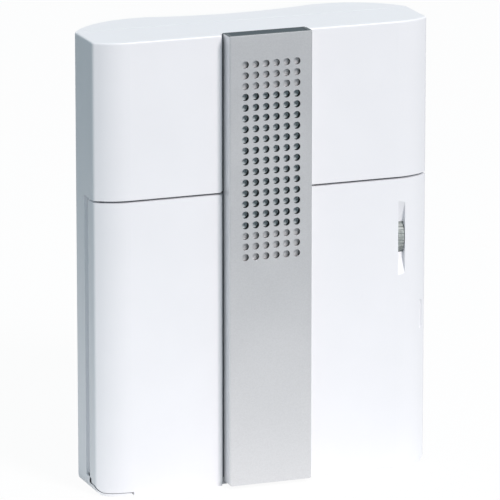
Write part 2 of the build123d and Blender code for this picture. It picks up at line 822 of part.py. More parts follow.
def speaker_surround():
    """Half-roll edge between the cone and the flange."""
    inner = cone_outer_radius + surround_gap
    outer = inner + surround_width
    mid = (inner + outer) / 2
    rise = surround_width / 2
    base = flange_front
    roll = [
        ThreePointArc((inner, base), (mid, base + rise), (outer, base)),
        ThreePointArc((inner + surround_thickness, base), (mid, base + rise - surround_thickness),
                      (outer - surround_thickness, base)),
        Line((inner, base), (inner + surround_thickness, base)),
        Line((outer - surround_thickness, base), (outer, base)),
    ]
    rim = turned_ring(outer - surround_thickness / 2, surround_rim_radius, base, base + surround_thickness)
    return turned(make_face(roll)) + rim


def speaker_clips():
    clips = []
    for index, (x, z) in enumerate(clip_places()):
        angle = clip_first_angle + index * 360 / clip_count
        radial = Vector(x, z - speaker_z).normalized()
        centre = Vector(x, z) - radial * (clip_length / 2 - clip_width / 2)
        shape = Pos(centre.X, centre.Y) * Rot(0, 0, angle) * SlotOverall(clip_length, clip_width)
        clip = raised(shape, flange_back - clip_thickness, flange_back)
        clips.append(clip - rod(x, z, screw_hole_radius, flange_back - clip_thickness - tiny, flange_back + tiny))
    return clips


def speaker_screws():
    return [screw(x, z, flange_back - clip_thickness, -speaker_screw_reach) for x, z in clip_places()]


def circuit_board():
    board = slab(board_left, board_right, board_back, board_front, board_bottom, board_top)
    board -= slab(-board_notch_right, board_notch_right, board_back - tiny, board_front + tiny,
                  board_notch_bottom, half_height)
    for x, z in board_screw_places:
        board -= rod(x, z, screw_hole_radius, board_back - tiny, board_front + tiny)
    return board


def board_screws():
    return [screw(x, z, board_front, board_screw_reach) for x, z in board_screw_places]


def housing_screw():
    return screw(0, ear_screw_z, ear_back + ear_thickness, board_screw_reach)


def terminal_poles():
    """Heights of the terminal block's poles."""
    return [terminal_top - terminal_pitch * (pole + 0.5) for pole in range(terminal_count)]


def terminal_block():
    right = terminal_left + terminal_width
    front = board_front + terminal_height
    block = slab(terminal_left, right, board_front, front, terminal_bottom, terminal_top)
    block -= slab(terminal_left - tiny, terminal_left + terminal_step, front - terminal_step, front + tiny,
                  terminal_bottom - tiny, terminal_top + tiny)
    screw_x = terminal_left + terminal_screw_inset
    for z in terminal_poles():
        block -= rod(screw_x, z, terminal_screw_radius + screw_clearance,
                     front - terminal_screw_sink - terminal_screw_length, front + tiny)
        block -= cross_rod(terminal_left - tiny, terminal_left + terminal_wire_reach,
                           board_front + terminal_wire_height, z, terminal_wire_radius)
    return block


def terminal_screws():
    head_top = board_front + terminal_height - terminal_screw_sink
    x = terminal_left + terminal_screw_inset
    screws = []
    for z in terminal_poles():
        body = rod(x, z, terminal_screw_radius, head_top - terminal_screw_length, head_top)
        screws.append(body - slab(x - terminal_screw_radius, x + terminal_screw_radius,
                                  head_top - screw_slot_sink, head_top, z - screw_slot / 2, z + screw_slot / 2))
    return screws


def chip(place_share, size, legs):
    """A moulded chip with a row of bent legs down each long side."""
    x, z = on_board(place_share)
    width, length = size
    low = board_front + chip_standoff
    body = raised(Pos(x, z) * Rectangle(width, length), low, board_front + chip_standoff + chip_height)
    shoulder = low + chip_height / 2
    for side in (-1, 1):
        for leg in range(legs):
            leg_z = z + (leg - (legs - 1) / 2) * leg_pitch
            edge = x + side * width / 2
            tip = edge + side * leg_reach
            top = raised(Pos((edge + tip) / 2, leg_z) * Rectangle(leg_reach, leg_width),
                         shoulder - leg_thickness, shoulder)
            drop = raised(Pos(tip - side * leg_thickness / 2, leg_z) * Rectangle(leg_thickness, leg_width),
                          board_front, shoulder)
            body += top + drop
    return body


def rectifier():
    x, z = on_board(rectifier_place_share)
    outline = Pos(x, z) * Rectangle(rectifier_size, rectifier_size)
    outline = chamfer(outline.vertices().sort_by(Axis.X)[-1:], length=rectifier_chamfer)
    return raised(outline, board_front, board_front + rectifier_height)


def capacitor(place_share, radius, height):
    """A round can that stands on the board, with a rolled groove near its foot."""
    x, z = on_board(place_share)
    can = rod(x, z, radius, board_front, board_front + height)
    groove_ring = Torus(radius, capacitor_groove_radius)
    groove = Pos(x, -(board_front + capacitor_groove_height), z) * Rot(90, 0, 0) * groove_ring
    return can - groove


def resistors():
    group = []
    for x, z in map(on_board, resistor_place_shares):
        depth = board_front + resistor_radius
        body = cross_rod(x - resistor_length / 2, x + resistor_length / 2, depth, z, resistor_radius)
        wire = cross_rod(x - resistor_span / 2, x + resistor_span / 2, depth, z, resistor_leg_radius)
        for side in (-1, 1):
            foot_x = x + side * (resistor_span / 2 - resistor_leg_radius)
            wire += rod(foot_x, z, resistor_leg_radius, board_front, depth)
        group.append(body + wire)
    return group


def volume_pot():
    """Upright rotary control: bracket on the board, round-cornered body and a shaft for the wheel."""
    body = extrude(Plane.YZ.offset(pot_left) * Pos(-wheel_depth, wheel_z) * RectangleRounded(
        2 * pot_half, 2 * pot_half, corner_radius), amount=pot_width)
    bracket = slab(pot_left, pot_left + pot_bracket_width, board_front, wheel_depth,
                   wheel_z - pot_bracket_half, wheel_z + pot_bracket_half)
    shaft = cross_rod(pot_right, wheel_x + wheel_thickness / 2 + pot_shaft_reach, wheel_depth, wheel_z, pot_shaft_radius)
    return body + bracket + shaft


def volume_wheel():
    disc = Circle(wheel_radius)
    notches = [spot * Circle(wheel_rib_radius) for spot in PolarLocations(wheel_radius, wheel_rib_count)]
    face = disc - (Sketch() + notches) - Circle(pot_shaft_radius + wheel_bore_gap)
    plane = Plane.YZ.offset(wheel_x - wheel_thickness / 2) * Pos(-wheel_depth, wheel_z)
    return extrude(plane * face, amount=wheel_thickness)


def tone_switch():
    switch_x, switch_z = on_board(switch_place_share)
    body = raised(Pos(switch_x, switch_z) * Rectangle(switch_length, switch_width), board_front,
                  board_front + switch_height)
    slot = Pos(switch_x, switch_z) * Rectangle(switch_slot_length, switch_slot_width)
    return body - raised(slot, board_front + switch_height - switch_slot_sink, board_front + switch_height)


def tone_slider():
    switch_x, switch_z = on_board(switch_place_share)
    floor = board_front + switch_height - switch_slot_sink
    slack = (switch_slot_length - slider_length - slider_travel) / 2
    x = switch_x - switch_slot_length / 2 + slack + slider_length / 2
    outline = Pos(x, switch_z) * Rectangle(slider_length, switch_slot_width - 2 * slider_clearance)
    return raised(outline, floor + slider_clearance, floor + slider_height)


def cell_heights():
    """Heights of the cells' axes, from the lowest up."""
    return [battery_mid_z + (index - (cell_count - 1) / 2) * cell_pitch for index in range(cell_count)]


def cell_axis_depth():
    return battery_floor_depth + battery_box_wall + cell_seat_gap + cell_radius


def battery_box():
    half = cell_count * cell_pitch / 2
    wall = battery_box_wall
    front = battery_floor_depth + battery_box_height
    low = battery_mid_z - half
    high = battery_mid_z + half
    box = slab(battery_left, battery_right, battery_floor_depth, front, low - wall, high + wall)
    box -= slab(battery_left + wall, battery_right - wall, battery_floor_depth + wall, front + tiny, low, high)
    floor = battery_floor_depth + wall
    for z in cell_heights()[:-1]:
        middle = z + cell_pitch / 2
        box += slab(battery_left + wall, battery_right - wall, floor, floor + cell_divider_height,
                    middle - cell_divider / 2, middle + cell_divider / 2)
    return box


def battery_cell(index):
    """One cell on its side; every second one is turned round."""
    z = cell_heights()[index]
    depth = cell_axis_depth()
    plus = 1 if index % 2 else -1
    middle = (battery_left + battery_right) / 2 + plus * (leaf_rise / 2 + contact_sheet / 4)
    can_length = cell_length - cell_nub_length
    tip = middle + plus * cell_length / 2
    shoulder = tip - plus * cell_nub_length
    foot = shoulder - plus * can_length
    can = cross_rod(min(foot, shoulder), max(foot, shoulder), depth, z, cell_radius)
    can = fillet(can.edges().filter_by(GeomType.CIRCLE), radius=cell_edge_radius)
    return can + cross_rod(min(shoulder, tip), max(shoulder, tip), depth, z, cell_nub_radius)


def battery_contacts():
    """A plate at each cell's plus end and a sprung leaf at its minus end."""
    depth = cell_axis_depth()
    contacts = []
    for index, z in enumerate(cell_heights()):
        plus = 1 if index % 2 else -1
        for end in (-1, 1):
            wall_face = (battery_right - battery_box_wall) if end > 0 else (battery_left + battery_box_wall)
            sheet_face = wall_face - end * contact_sheet
            plate = slab(min(wall_face, sheet_face), max(wall_face, sheet_face), depth - contact_half,
                         depth + contact_half, z - contact_half, z + contact_half)
            if end != plus:
                plate += leaf(sheet_face, end, depth, z)
            contacts.append(plate)
    return contacts


def leaf(face_x, end, depth, z):
    """A bowed strip that stands out of a contact plate towards the cell."""
    half = contact_half
    outer = ThreePointArc((face_x, -depth - half), (face_x - end * leaf_rise, -depth), (face_x, -depth + half))
    inner = ThreePointArc((face_x, -depth - half + contact_sheet),
                          (face_x - end * (leaf_rise - contact_sheet), -depth),
                          (face_x, -depth + half - contact_sheet))
    ends = [Line((face_x, -depth - half), (face_x, -depth - half + contact_sheet)),
            Line((face_x, -depth + half), (face_x, -depth + half - contact_sheet))]
    section = make_face([outer, inner] + ends)
    return extrude(Pos(0, 0, z - half / 2) * section, amount=half, dir=(0, 0, 1))


def speaker_lead(side):
    """A wire from the basket's lug board, down behind the baffle and on to the circuit board."""
    start_x = lug_board_x + (side - 0.5) * speaker_lead_spread
    start_z = speaker_z - basket_radius + speaker_lead_inset
    start_depth = flange_back - lug_board_thickness
    end_x, end_z = on_board(speaker_lead_ends_share[1 - side])
    return lead([
        (start_x, start_depth, start_z), (start_x, start_depth - lead_stub, start_z),
        (start_x + lead_run_share, (start_depth + lead_hop_depth) / 2, start_z - 2 * lead_stub),
        (start_x + (end_x - start_x) * lead_run_share, lead_hop_depth, start_z + (end_z - start_z) * lead_run_share),
        (end_x, lead_hop_depth, end_z + lead_stub), (end_x, lead_hop_depth, end_z), (end_x, board_front, end_z),
    ])


def battery_lead(index):
    """A wire from the battery box's end wall, over the edge of the board and down on to it."""
    start_x = battery_right
    start_z = battery_mid_z + battery_lead_starts[index]
    rectifier_x, rectifier_z = on_board(rectifier_place_share)
    end_x = rectifier_x + battery_lead_ends[index][0]
    end_z = rectifier_z + battery_lead_ends[index][1]
    mid_x = (start_x + end_x) / 2
    mid_z = start_z + (end_z - start_z) * lead_run_share
    return lead([
        (start_x, battery_lead_depth, start_z), (start_x + lead_stub, battery_lead_depth, start_z),
        (mid_x, lead_hop_depth, mid_z), (end_x, lead_hop_depth, end_z), (end_x, board_front, end_z),
    ])


def lead(route):
    """An insulated wire through points of x, depth and z, with arcs as large as its runs allow."""
    points = [Vector(x, -depth, z) for x, depth, z in route]
    radii = []
    for before, here, after in zip(points, points[1:], points[2:]):
        turn = (here - before).get_angle(after - here) * pi / 180
        shorter = min((here - before).length, (after - here).length)
        radii.append(lead_run_share * shorter / tan(turn / 2))
    path = FilletPolyline(*points, radius=radii)
    return sweep(Plane(origin=path @ 0, z_dir=path % 0) * Circle(lead_diameter / 2), path=path)


def all_pieces():
    """Every piece under its node's name."""
    pieces = {
        "wall_tray": wall_tray(),
        "housing": housing(),
        "lower_cover": lower_cover(),
        "grille_strip": grille_strip(),
        "strip_rail": strip_rail(),
        "speaker_cloth": speaker_cloth(),
        "rail_screws": rail_screws(),
        "speaker_basket": speaker_basket(),
        "speaker_gasket": speaker_gasket(),
        "speaker_top_plate": speaker_top_plate(),
        "speaker_magnet": speaker_magnet(),
        "speaker_yoke": speaker_yoke(),
        "voice_coil": voice_coil(),
        "speaker_cone": speaker_cone(),
        "dust_cap": dust_cap(),
        "speaker_surround": speaker_surround(),
        "speaker_clips": speaker_clips(),
        "speaker_screws": speaker_screws(),
        "circuit_board": circuit_board(),
        "board_screws": board_screws(),
        "housing_screw": housing_screw(),
        "terminal_block": terminal_block(),
        "terminal_screws": terminal_screws(),
        "tone_chip": chip(tone_chip_place_share, tone_chip_size, tone_chip_legs),
        "amplifier_chip": chip(amplifier_place_share, amplifier_size, amplifier_legs),
        "rectifier": rectifier(),
        "supply_capacitor": capacitor(supply_capacitor_place_share, supply_capacitor_radius, supply_capacitor_height),
        "output_capacitor": capacitor(output_capacitor_place_share, output_capacitor_radius, output_capacitor_height),
        "resistors": resistors(),
        "volume_pot": volume_pot(),
        "volume_wheel": volume_wheel(),
        "tone_switch": tone_switch(),
        "tone_slider": tone_slider(),
        "battery_box": battery_box(),
        "battery_contacts": battery_contacts(),
        "speaker_lead_plus": speaker_lead(1),
        "speaker_lead_minus": speaker_lead(0),
        "battery_lead_plus": battery_lead(0),
        "battery_lead_minus": battery_lead(1),
    }
    for index in range(cell_count):
        pieces[f"battery_cell_{index + 1}"] = battery_cell(index)
    return pieces


os.makedirs("parts", exist_ok=True)
for name, piece in all_pieces().items():
    export_step(Compound(piece) if isinstance(piece, list) else piece, f"parts/{name}.step")
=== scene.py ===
import math

import bmesh
import bpy
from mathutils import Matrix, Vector


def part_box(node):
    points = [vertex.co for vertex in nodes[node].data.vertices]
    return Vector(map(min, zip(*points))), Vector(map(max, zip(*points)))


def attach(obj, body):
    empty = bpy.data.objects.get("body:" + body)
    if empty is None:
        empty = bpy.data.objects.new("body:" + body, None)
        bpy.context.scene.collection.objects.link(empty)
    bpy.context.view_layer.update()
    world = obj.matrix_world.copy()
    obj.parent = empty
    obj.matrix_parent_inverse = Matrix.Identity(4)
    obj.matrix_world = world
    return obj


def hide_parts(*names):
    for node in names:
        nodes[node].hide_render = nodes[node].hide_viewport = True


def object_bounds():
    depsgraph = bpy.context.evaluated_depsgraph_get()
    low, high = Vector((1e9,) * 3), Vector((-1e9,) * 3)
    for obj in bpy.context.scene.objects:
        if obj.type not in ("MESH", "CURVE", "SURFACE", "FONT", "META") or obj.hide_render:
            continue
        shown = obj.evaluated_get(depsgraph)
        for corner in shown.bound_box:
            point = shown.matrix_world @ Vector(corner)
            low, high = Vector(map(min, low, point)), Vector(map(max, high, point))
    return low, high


bl_info = {
    "name": "Doorbell chime box",
    "version": (1, 0, 0),
    "blender": (4, 5, 0),
    "location": "3D View > Sidebar > Chime box",
    "description": "Dresses the chime box's packed frame and sets its studio",
    "category": "Object",
}

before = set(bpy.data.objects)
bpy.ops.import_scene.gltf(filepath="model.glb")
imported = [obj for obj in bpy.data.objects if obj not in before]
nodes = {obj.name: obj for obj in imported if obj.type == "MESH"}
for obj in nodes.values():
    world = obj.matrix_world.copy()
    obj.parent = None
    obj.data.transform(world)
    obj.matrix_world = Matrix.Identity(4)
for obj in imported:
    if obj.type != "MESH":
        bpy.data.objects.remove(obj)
cad_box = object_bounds()

MM = 0.001
# The wave texture repeats at this length in metres where its scale is 1.
WAVE_LENGTH = 0.314


# Sizes read from the frame

def corners(node):
    """A node's lowest and highest corner."""
    return tuple(Vector(corner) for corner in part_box(node))


def middle(node):
    """The centre of a node's box."""
    low, high = corners(node)
    return (low + high) / 2


SPEAKER = middle("speaker_gasket")
BOARD_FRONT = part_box("circuit_board")[0][1]
# Each chip's node and its count of legs down one side, and the spacing of legs.
CHIPS = (("tone_chip", 7), ("amplifier_chip", 4))
LEG_PITCH = 2.54 * MM


# Colours and properties

def linear(hex_colour):
    """An sRGB hex colour as linear red, green, blue and alpha."""
    channels = [int(hex_colour[start:start + 2], 16) / 255 for start in (1, 3, 5)]
    curve = [c / 12.92 if c <= 0.04045 else ((c + 0.055) / 1.055) ** 2.4 for c in channels]
    return (*curve, 1.0)


def deepen(colour, share):
    """A colour with its brightness times a share."""
    return (*(channel * share for channel in colour[:3]), 1.0)


def hex_property(name, default, description):
    """A colour property whose default is an sRGB hex value."""
    return bpy.props.FloatVectorProperty(name=name, description=description, subtype="COLOR", size=4, min=0,
                                         max=1, default=linear(default))


def length_property(name, default, description):
    """A length property, in metres."""
    return bpy.props.FloatProperty(name=name, description=description, default=default, min=0, unit="LENGTH",
                                   subtype="DISTANCE", precision=5)


def factor_property(name, default, description):
    """A share from 0 to 1."""
    return bpy.props.FloatProperty(name=name, description=description, default=default, min=0, max=1,
                                   subtype="FACTOR")


# Nodes and patterns

def add(tree, kind, inputs=None, **settings):
    """Adds a node. An input takes a value, or a link where it is given another node's output."""
    node = tree.nodes.new(kind)
    for name, value in settings.items():
        setattr(node, name, value)
    for key, value in (inputs or {}).items():
        if isinstance(value, bpy.types.NodeSocket):
            tree.links.new(value, node.inputs[key])
        else:
            node.inputs[key].default_value = value
    return node


def new_material(name):
    """An empty material, its tree, and the place of its points in the frame's own metres."""
    material = bpy.data.materials.new(name)
    material.use_nodes = True
    tree = material.node_tree
    tree.nodes.clear()
    return material, tree, add(tree, "ShaderNodeTexCoord").outputs["Object"]


def finish_surface(material, tree, shader):
    """Joins a shader to the material's output and gives back the material."""
    add(tree, "ShaderNodeOutputMaterial", {"Surface": shader.outputs[0]})
    return material


def mottle(tree, place, blob, low=0.0, high=1.0, detail=2.0, roughness=0.5, start=0.3, end=0.7):
    """A value that wanders between two, in blobs about that far across."""
    cloud = add(tree, "ShaderNodeTexNoise", {"Vector": place, "Scale": 1 / blob, "Detail": detail,
                                             "Roughness": roughness}).outputs[0]
    return add(tree, "ShaderNodeMapRange", {"Value": cloud, "From Min": start, "From Max": end,
                                            "To Min": low, "To Max": high}).outputs[0]


def mottled(tree, place, blob, colour, dark_share, light_share=1.0, **pattern):
    """A colour that wanders between two shares of its brightness."""
    share = mottle(tree, place, blob, **pattern)
    dark, light = deepen(colour, dark_share), deepen(colour, light_share)
    return add(tree, "ShaderNodeMix", {0: share, 6: dark, 7: light}, data_type="RGBA").outputs[2]


def relief(tree, place, blob, depth, detail=2.0, roughness=0.5):
    """A surface normal from bumps about that far across and that deep."""
    height = add(tree, "ShaderNodeTexNoise", {"Vector": place, "Scale": 1 / blob, "Detail": detail,
                                              "Roughness": roughness}).outputs[0]
    return add(tree, "ShaderNodeBump", {"Height": height, "Distance": depth}).outputs[0]


def fold(tree, operation, *masks):
    """Folds masks into one: MULTIPLY where all of them hold, MAXIMUM where any of them does."""
    whole = masks[0]
    for mask in masks[1:]:
        whole = add(tree, "ShaderNodeMath", {0: whole, 1: mask}, operation=operation).outputs[0]
    return whole


def ripples(tree, place, directions, spacing, waviness=0.0):
    """Ripples that repeat at a spacing along each of some axes, multiplied together."""
    waves = []
    for direction in directions:
        wave = add(tree, "ShaderNodeTexWave", {"Vector": place, "Scale": WAVE_LENGTH / spacing,
                                               "Distortion": waviness}, bands_direction=direction)
        waves.append(wave.outputs["Fac"])
    return fold(tree, "MULTIPLY", *waves)


def band(tree, place, axis, centre, half_width):
    """A mask that is 1 where one coordinate is no further from a centre than half a width."""
    coordinate = add(tree, "ShaderNodeSeparateXYZ", {"Vector": place}).outputs[axis]
    return add(tree, "ShaderNodeMath", {0: coordinate, 1: centre, 2: half_width},
               operation="COMPARE").outputs[0]


def near(tree, place, point, reach, axes=(1, 1, 1)):
    """A mask that is 1 nearer to a point than a reach, measured along some axes only."""
    flat = add(tree, "ShaderNodeVectorMath", {0: place, 1: axes}, operation="MULTIPLY").outputs[0]
    away = add(tree, "ShaderNodeVectorMath", {0: flat, 1: Vector(point) * Vector(axes)}, operation="DISTANCE")
    return add(tree, "ShaderNodeMath", {0: away.outputs["Value"], 1: reach}, operation="LESS_THAN").outputs[0]


def tin(tree, hex_colour, roughness):
    """Bare tinned or rolled metal on a part's legs, tops and ends."""
    return add(tree, "ShaderNodeBsdfPrincipled", {"Metallic": 1.0, "Roughness": roughness,
                                                  "Base Color": linear(hex_colour)})


# Materials

def moulded_white_abs(finish):
    """ABS, injection moulded in a lightly spark-eroded mould."""
    # Satin ABS spreads its highlight, with a faint grain of about a fifth of a millimetre. The grain is
    # drawn at half a millimetre so that it shows.
    material, tree, place = new_material("moulded white ABS")
    flow = 22 * MM
    rough = mottle(tree, place, flow, finish.roughness - 0.03, finish.roughness + 0.03, detail=3.0)
    shader = add(tree, "ShaderNodeBsdfPrincipled", {
        "Base Color": mottled(tree, place, flow, finish.white, 0.985, detail=3.0), "IOR": 1.54,
        "Roughness": rough, "Normal": relief(tree, place, 0.5 * MM, 0.006 * MM, detail=1.0)})
    return finish_surface(material, tree, shader)


def silver_lacquer_on_abs(finish):
    """ABS sprayed outside with silver lacquer; inside, cut ends and hole walls stay dark, the walls partly as
    painted shade.
    """
    # Fine aluminium flakes give the lacquer a soft metallic sheen and a sparkle of 0.1 mm, drawn at 0.4 mm.
    material, tree, place = new_material("silver lacquer on ABS")
    flakes = add(tree, "ShaderNodeTexVoronoi", {"Vector": place, "Scale": 1 / (0.4 * MM)}).outputs["Color"]
    sparkle = add(tree, "ShaderNodeSeparateXYZ", {"Vector": flakes}).outputs[0]
    colour = add(tree, "ShaderNodeMix", {0: sparkle, 6: deepen(finish.silver, 0.95), 7: finish.silver},
                 data_type="RGBA").outputs[2]
    rough = mottle(tree, place, 30 * MM, finish.silver_roughness - 0.03, finish.silver_roughness + 0.03)
    normal = add(tree, "ShaderNodeBump", {"Height": sparkle, "Distance": 0.002 * MM}).outputs[0]
    lacquer = add(tree, "ShaderNodeBsdfPrincipled", {"Metallic": 0.7, "IOR": 1.5, "Base Color": colour,
                                                     "Roughness": rough, "Normal": normal})
    # The spray misses what lies deep in the strip, the walls of the holes, and its two cut ends.
    # The near-black hole walls are also painted shade.
    low, high = corners("grille_strip")
    depth = high.y - low.y
    deep = band(tree, place, 1, high.y, depth - finish.blind_depth)
    normal = add(tree, "ShaderNodeNewGeometry").outputs["Normal"]
    # Painted shade: the hole walls take the near-black bare colour, which also stands in for their shade.
    hole_walls_bare_and_painted_shade = fold(tree, "MULTIPLY", band(tree, normal, 1, 1.0, 1.5),
                     band(tree, place, 1, high.y, depth - finish.sprayed_depth),
                     band(tree, place, 2, SPEAKER.z, finish.field_half))
    inside = fold(tree, "MULTIPLY", fold(tree, "MAXIMUM", deep, hole_walls_bare_and_painted_shade),
                  band(tree, place, 0, 0.0, high.x - finish.side_wall))
    on_end = 0.02 * MM
    ends = fold(tree, "MAXIMUM", *(band(tree, place, 2, z, on_end) for z in (low.z, high.z)))
    end = fold(tree, "MULTIPLY", ends, band(tree, place, 1, high.y, depth - finish.sheet))
    dark = add(tree, "ShaderNodeMix", {0: end, 6: finish.bare, 7: finish.rail}, data_type="RGBA").outputs[2]
    bare = add(tree, "ShaderNodeBsdfPrincipled", {"Roughness": 0.5, "IOR": 1.54, "Base Color": dark})
    unpainted = fold(tree, "MAXIMUM", inside, end)
    mixed = add(tree, "ShaderNodeMixShader", {0: unpainted, 1: lacquer.outputs[0], 2: bare.outputs[0]})
    return finish_surface(material, tree, mixed)


def moulded_plastic(name, colour, roughness, grain=0.5 * MM, depth=0.006 * MM):
    """A thermoplastic moulding in one colour, with a fine moulded grain."""
    # The grain breaks up the highlight, and faint flow clouds of 9 mm keep wide faces from looking flat.
    material, tree, place = new_material(name)
    flow = 9 * MM
    shader = add(tree, "ShaderNodeBsdfPrincipled", {
        "Base Color": mottled(tree, place, flow, colour, 0.9), "IOR": 1.52,
        "Roughness": mottle(tree, place, flow, roughness - 0.04, roughness + 0.04),
        "Normal": relief(tree, place, grain, depth, detail=1.0)})
    return finish_surface(material, tree, shader)


def acetal_with_grime_and_painted_shade(colour):
    """Acetal, moulded with ribs, with handling grime in blobs and painted shade in the hollows between the
    ribs.
    """
    # Acetal is slippery and slightly waxy, so its highlight is broad. Painted shade darkens the hollows
    # between the ribs.
    material, tree, place = new_material("acetal with grime and painted shade")
    grime = mottle(tree, place, 1.6 * MM, 0, 0.6, detail=3.0, start=0.45, end=0.62)
    hollow = add(tree, "ShaderNodeNewGeometry").outputs["Pointiness"]
    # Painted shade: the hollows between the ribs, where pointiness is low, are darkened.
    crease_shade = add(tree, "ShaderNodeMapRange", {"Value": hollow, "From Min": 0.5, "From Max": 0.44, "To Min": 0,
                                            "To Max": 0.6}).outputs[0]
    grime_and_crease_shade = add(tree, "ShaderNodeMath", {0: grime, 1: crease_shade}, operation="ADD", use_clamp=True).outputs[0]
    shade = add(tree, "ShaderNodeMix", {0: grime_and_crease_shade, 6: colour, 7: deepen(colour, 0.42)},
                data_type="RGBA").outputs[2]
    shader = add(tree, "ShaderNodeBsdfPrincipled", {"IOR": 1.48, "Roughness": 0.42, "Base Color": shade})
    return finish_surface(material, tree, shader)


def woven_polyester(colour, thread):
    """Polyester grille cloth, plain woven, pale grey."""
    # The threads cross at each 0.3 mm, and each crossing catches a little light.
    material, tree, place = new_material("woven polyester")
    weave = ripples(tree, place, "XZ", thread, 0.4)
    shade = add(tree, "ShaderNodeMix", {0: weave, 6: deepen(colour, 0.8), 7: colour},
                data_type="RGBA").outputs[2]
    normal = add(tree, "ShaderNodeBump", {"Height": weave, "Distance": 0.08 * MM}).outputs[0]
    shader = add(tree, "ShaderNodeBsdfPrincipled", {"Roughness": 0.9, "Sheen Weight": 0.25,
                                                    "Base Color": shade, "Normal": normal})
    return finish_surface(material, tree, shader)


def bright_metal(name, colour, roughness, grain, depth=0.003 * MM):
    """A plated or rolled metal, with fine variation in how it spreads light."""
    # The plating's crystals and handling marks leave its mirror slightly cloudy.
    material, tree, place = new_material(name)
    shader = add(tree, "ShaderNodeBsdfPrincipled", {
        "Metallic": 1.0, "Base Color": mottled(tree, place, grain, colour, 0.82, detail=4.0),
        "Roughness": mottle(tree, place, grain, roughness - 0.07, roughness + 0.07, detail=4.0),
        "Normal": relief(tree, place, grain, depth, detail=4.0)})
    return finish_surface(material, tree, shader)


def sintered_ferrite(colour):
    """Ferrite, sintered and left as ground: matt, near black, slightly porous."""
    # Pores of some tenths of a millimetre, drawn at 0.8 mm, scatter the light, so nothing shines.
    material, tree, place = new_material("sintered ferrite")
    pore = 0.8 * MM
    shade = mottled(tree, place, pore, colour, 0.55, detail=6.0, roughness=0.7, start=0.35, end=0.65)
    normal = relief(tree, place, pore, 0.03 * MM, detail=6.0, roughness=0.7)
    shader = add(tree, "ShaderNodeBsdfPrincipled", {"Roughness": 0.62, "Base Color": shade, "Normal": normal})
    return finish_surface(material, tree, shader)


def pressed_fibre(name, colour, fibre):
    """Paper or card, pressed from pulp: matt, with short fibres that lie all ways."""
    # The fibres show as a fine fleck, and their ends give a slight sheen at a glancing angle.
    material, tree, place = new_material(name)
    shade = mottled(tree, place, fibre, colour, 0.7, 1.15, detail=5.0, roughness=0.75, start=0.35, end=0.65)
    normal = relief(tree, place, fibre, 0.05 * MM, detail=5.0, roughness=0.75)
    shader = add(tree, "ShaderNodeBsdfPrincipled", {"Roughness": 0.88, "Sheen Weight": 0.15,
                                                    "Base Color": shade, "Normal": normal})
    return finish_surface(material, tree, shader)


def enamelled_winding(colour, wire):
    """Copper wire, enamelled and wound in close turns."""
    # Each turn is a glossy round, with painted shade darkening the groove to the next.
    material, tree, place = new_material("enamelled winding")
    turns = ripples(tree, place, "Y", wire)
    # Painted shade: the colour darkens in the groove between turns.
    shade = add(tree, "ShaderNodeMix", {0: turns, 6: deepen(colour, 0.35), 7: colour},
                data_type="RGBA").outputs[2]
    normal = add(tree, "ShaderNodeBump", {"Height": turns, "Distance": 0.05 * MM}).outputs[0]
    shader = add(tree, "ShaderNodeBsdfPrincipled", {"Metallic": 0.85, "Roughness": 0.3, "Base Color": shade,
                                                    "Normal": normal})
    return finish_surface(material, tree, shader)


def lacquered_board(colour):
    """Glass-epoxy board under green lacquer."""
    # The glass weave prints through the lacquer at about 0.8 mm, and the lacquer is glossy.
    material, tree, place = new_material("lacquered board")
    weave = ripples(tree, place, "XZ", 0.8 * MM, 0.6)
    faint = add(tree, "ShaderNodeMath", {0: weave, 1: 0.35}, operation="MULTIPLY").outputs[0]
    shade = add(tree, "ShaderNodeMix", {0: faint, 6: colour, 7: deepen(colour, 1.5)},
                data_type="RGBA").outputs[2]
    normal = add(tree, "ShaderNodeBump", {"Height": weave, "Distance": 0.01 * MM}).outputs[0]
    shader = add(tree, "ShaderNodeBsdfPrincipled", {"Roughness": 0.24, "IOR": 1.55, "Base Color": shade,
                                                    "Normal": normal})
    return finish_surface(material, tree, shader)


def marked_epoxy(node, colour):
    """Black epoxy moulding with a moulded dimple by its first leg; its legs are tinned."""
    # The body is matt and sooty, the dimple catches light, and the legs are bright.
    material, tree, place = new_material(node + " epoxy")
    low, high = corners(node)
    centre = middle(node)
    leg_reach = 1.15 * MM
    dot_aside, dot_down, dot_radius = 2.4 * MM, 1.4 * MM, 0.55 * MM
    dot = (centre.x - dot_aside, low.y, high.z - dot_down)
    dimple = near(tree, place, dot, dot_radius)
    shade = add(tree, "ShaderNodeMix", {0: dimple, 6: colour, 7: deepen(colour, 2.6)},
                data_type="RGBA").outputs[2]
    body = add(tree, "ShaderNodeBsdfPrincipled", {
        "Roughness": 0.55, "Base Color": shade, "Normal": relief(tree, place, 0.3 * MM, 0.01 * MM)})
    on_body = band(tree, place, 0, centre.x, (high.x - low.x) / 2 - leg_reach)
    legs = tin(tree, "#C9CBCB", 0.3)
    mixed = add(tree, "ShaderNodeMixShader", {0: on_body, 1: legs.outputs[0], 2: body.outputs[0]})
    return finish_surface(material, tree, mixed)


def sleeved_can(node, sleeve, stripe):
    """Aluminium can in a shrunk PVC sleeve, with a pale stripe down its minus side and a bare top."""
    # The film is glossy, and the metal disc of the top shows inside its rolled edge.
    material, tree, place = new_material(node + " sleeve")
    low, high = corners(node)
    centre = middle(node)
    radius = (high.x - low.x) / 2
    rolled_edge, stripe_reach, on_face = 0.7 * MM, radius * 0.25, 0.05 * MM
    top = fold(tree, "MULTIPLY", band(tree, place, 1, low.y, on_face),
               near(tree, place, centre, radius - rolled_edge, axes=(1, 0, 1)))
    side = band(tree, place, 0, high.x, stripe_reach)
    shade = add(tree, "ShaderNodeMix", {0: side, 6: sleeve, 7: stripe}, data_type="RGBA").outputs[2]
    film = add(tree, "ShaderNodeBsdfPrincipled", {"Roughness": 0.28, "IOR": 1.53, "Base Color": shade})
    disc = tin(tree, "#D0D2D3", 0.32)
    mixed = add(tree, "ShaderNodeMixShader", {0: top, 1: film.outputs[0], 2: disc.outputs[0]})
    return finish_surface(material, tree, mixed)


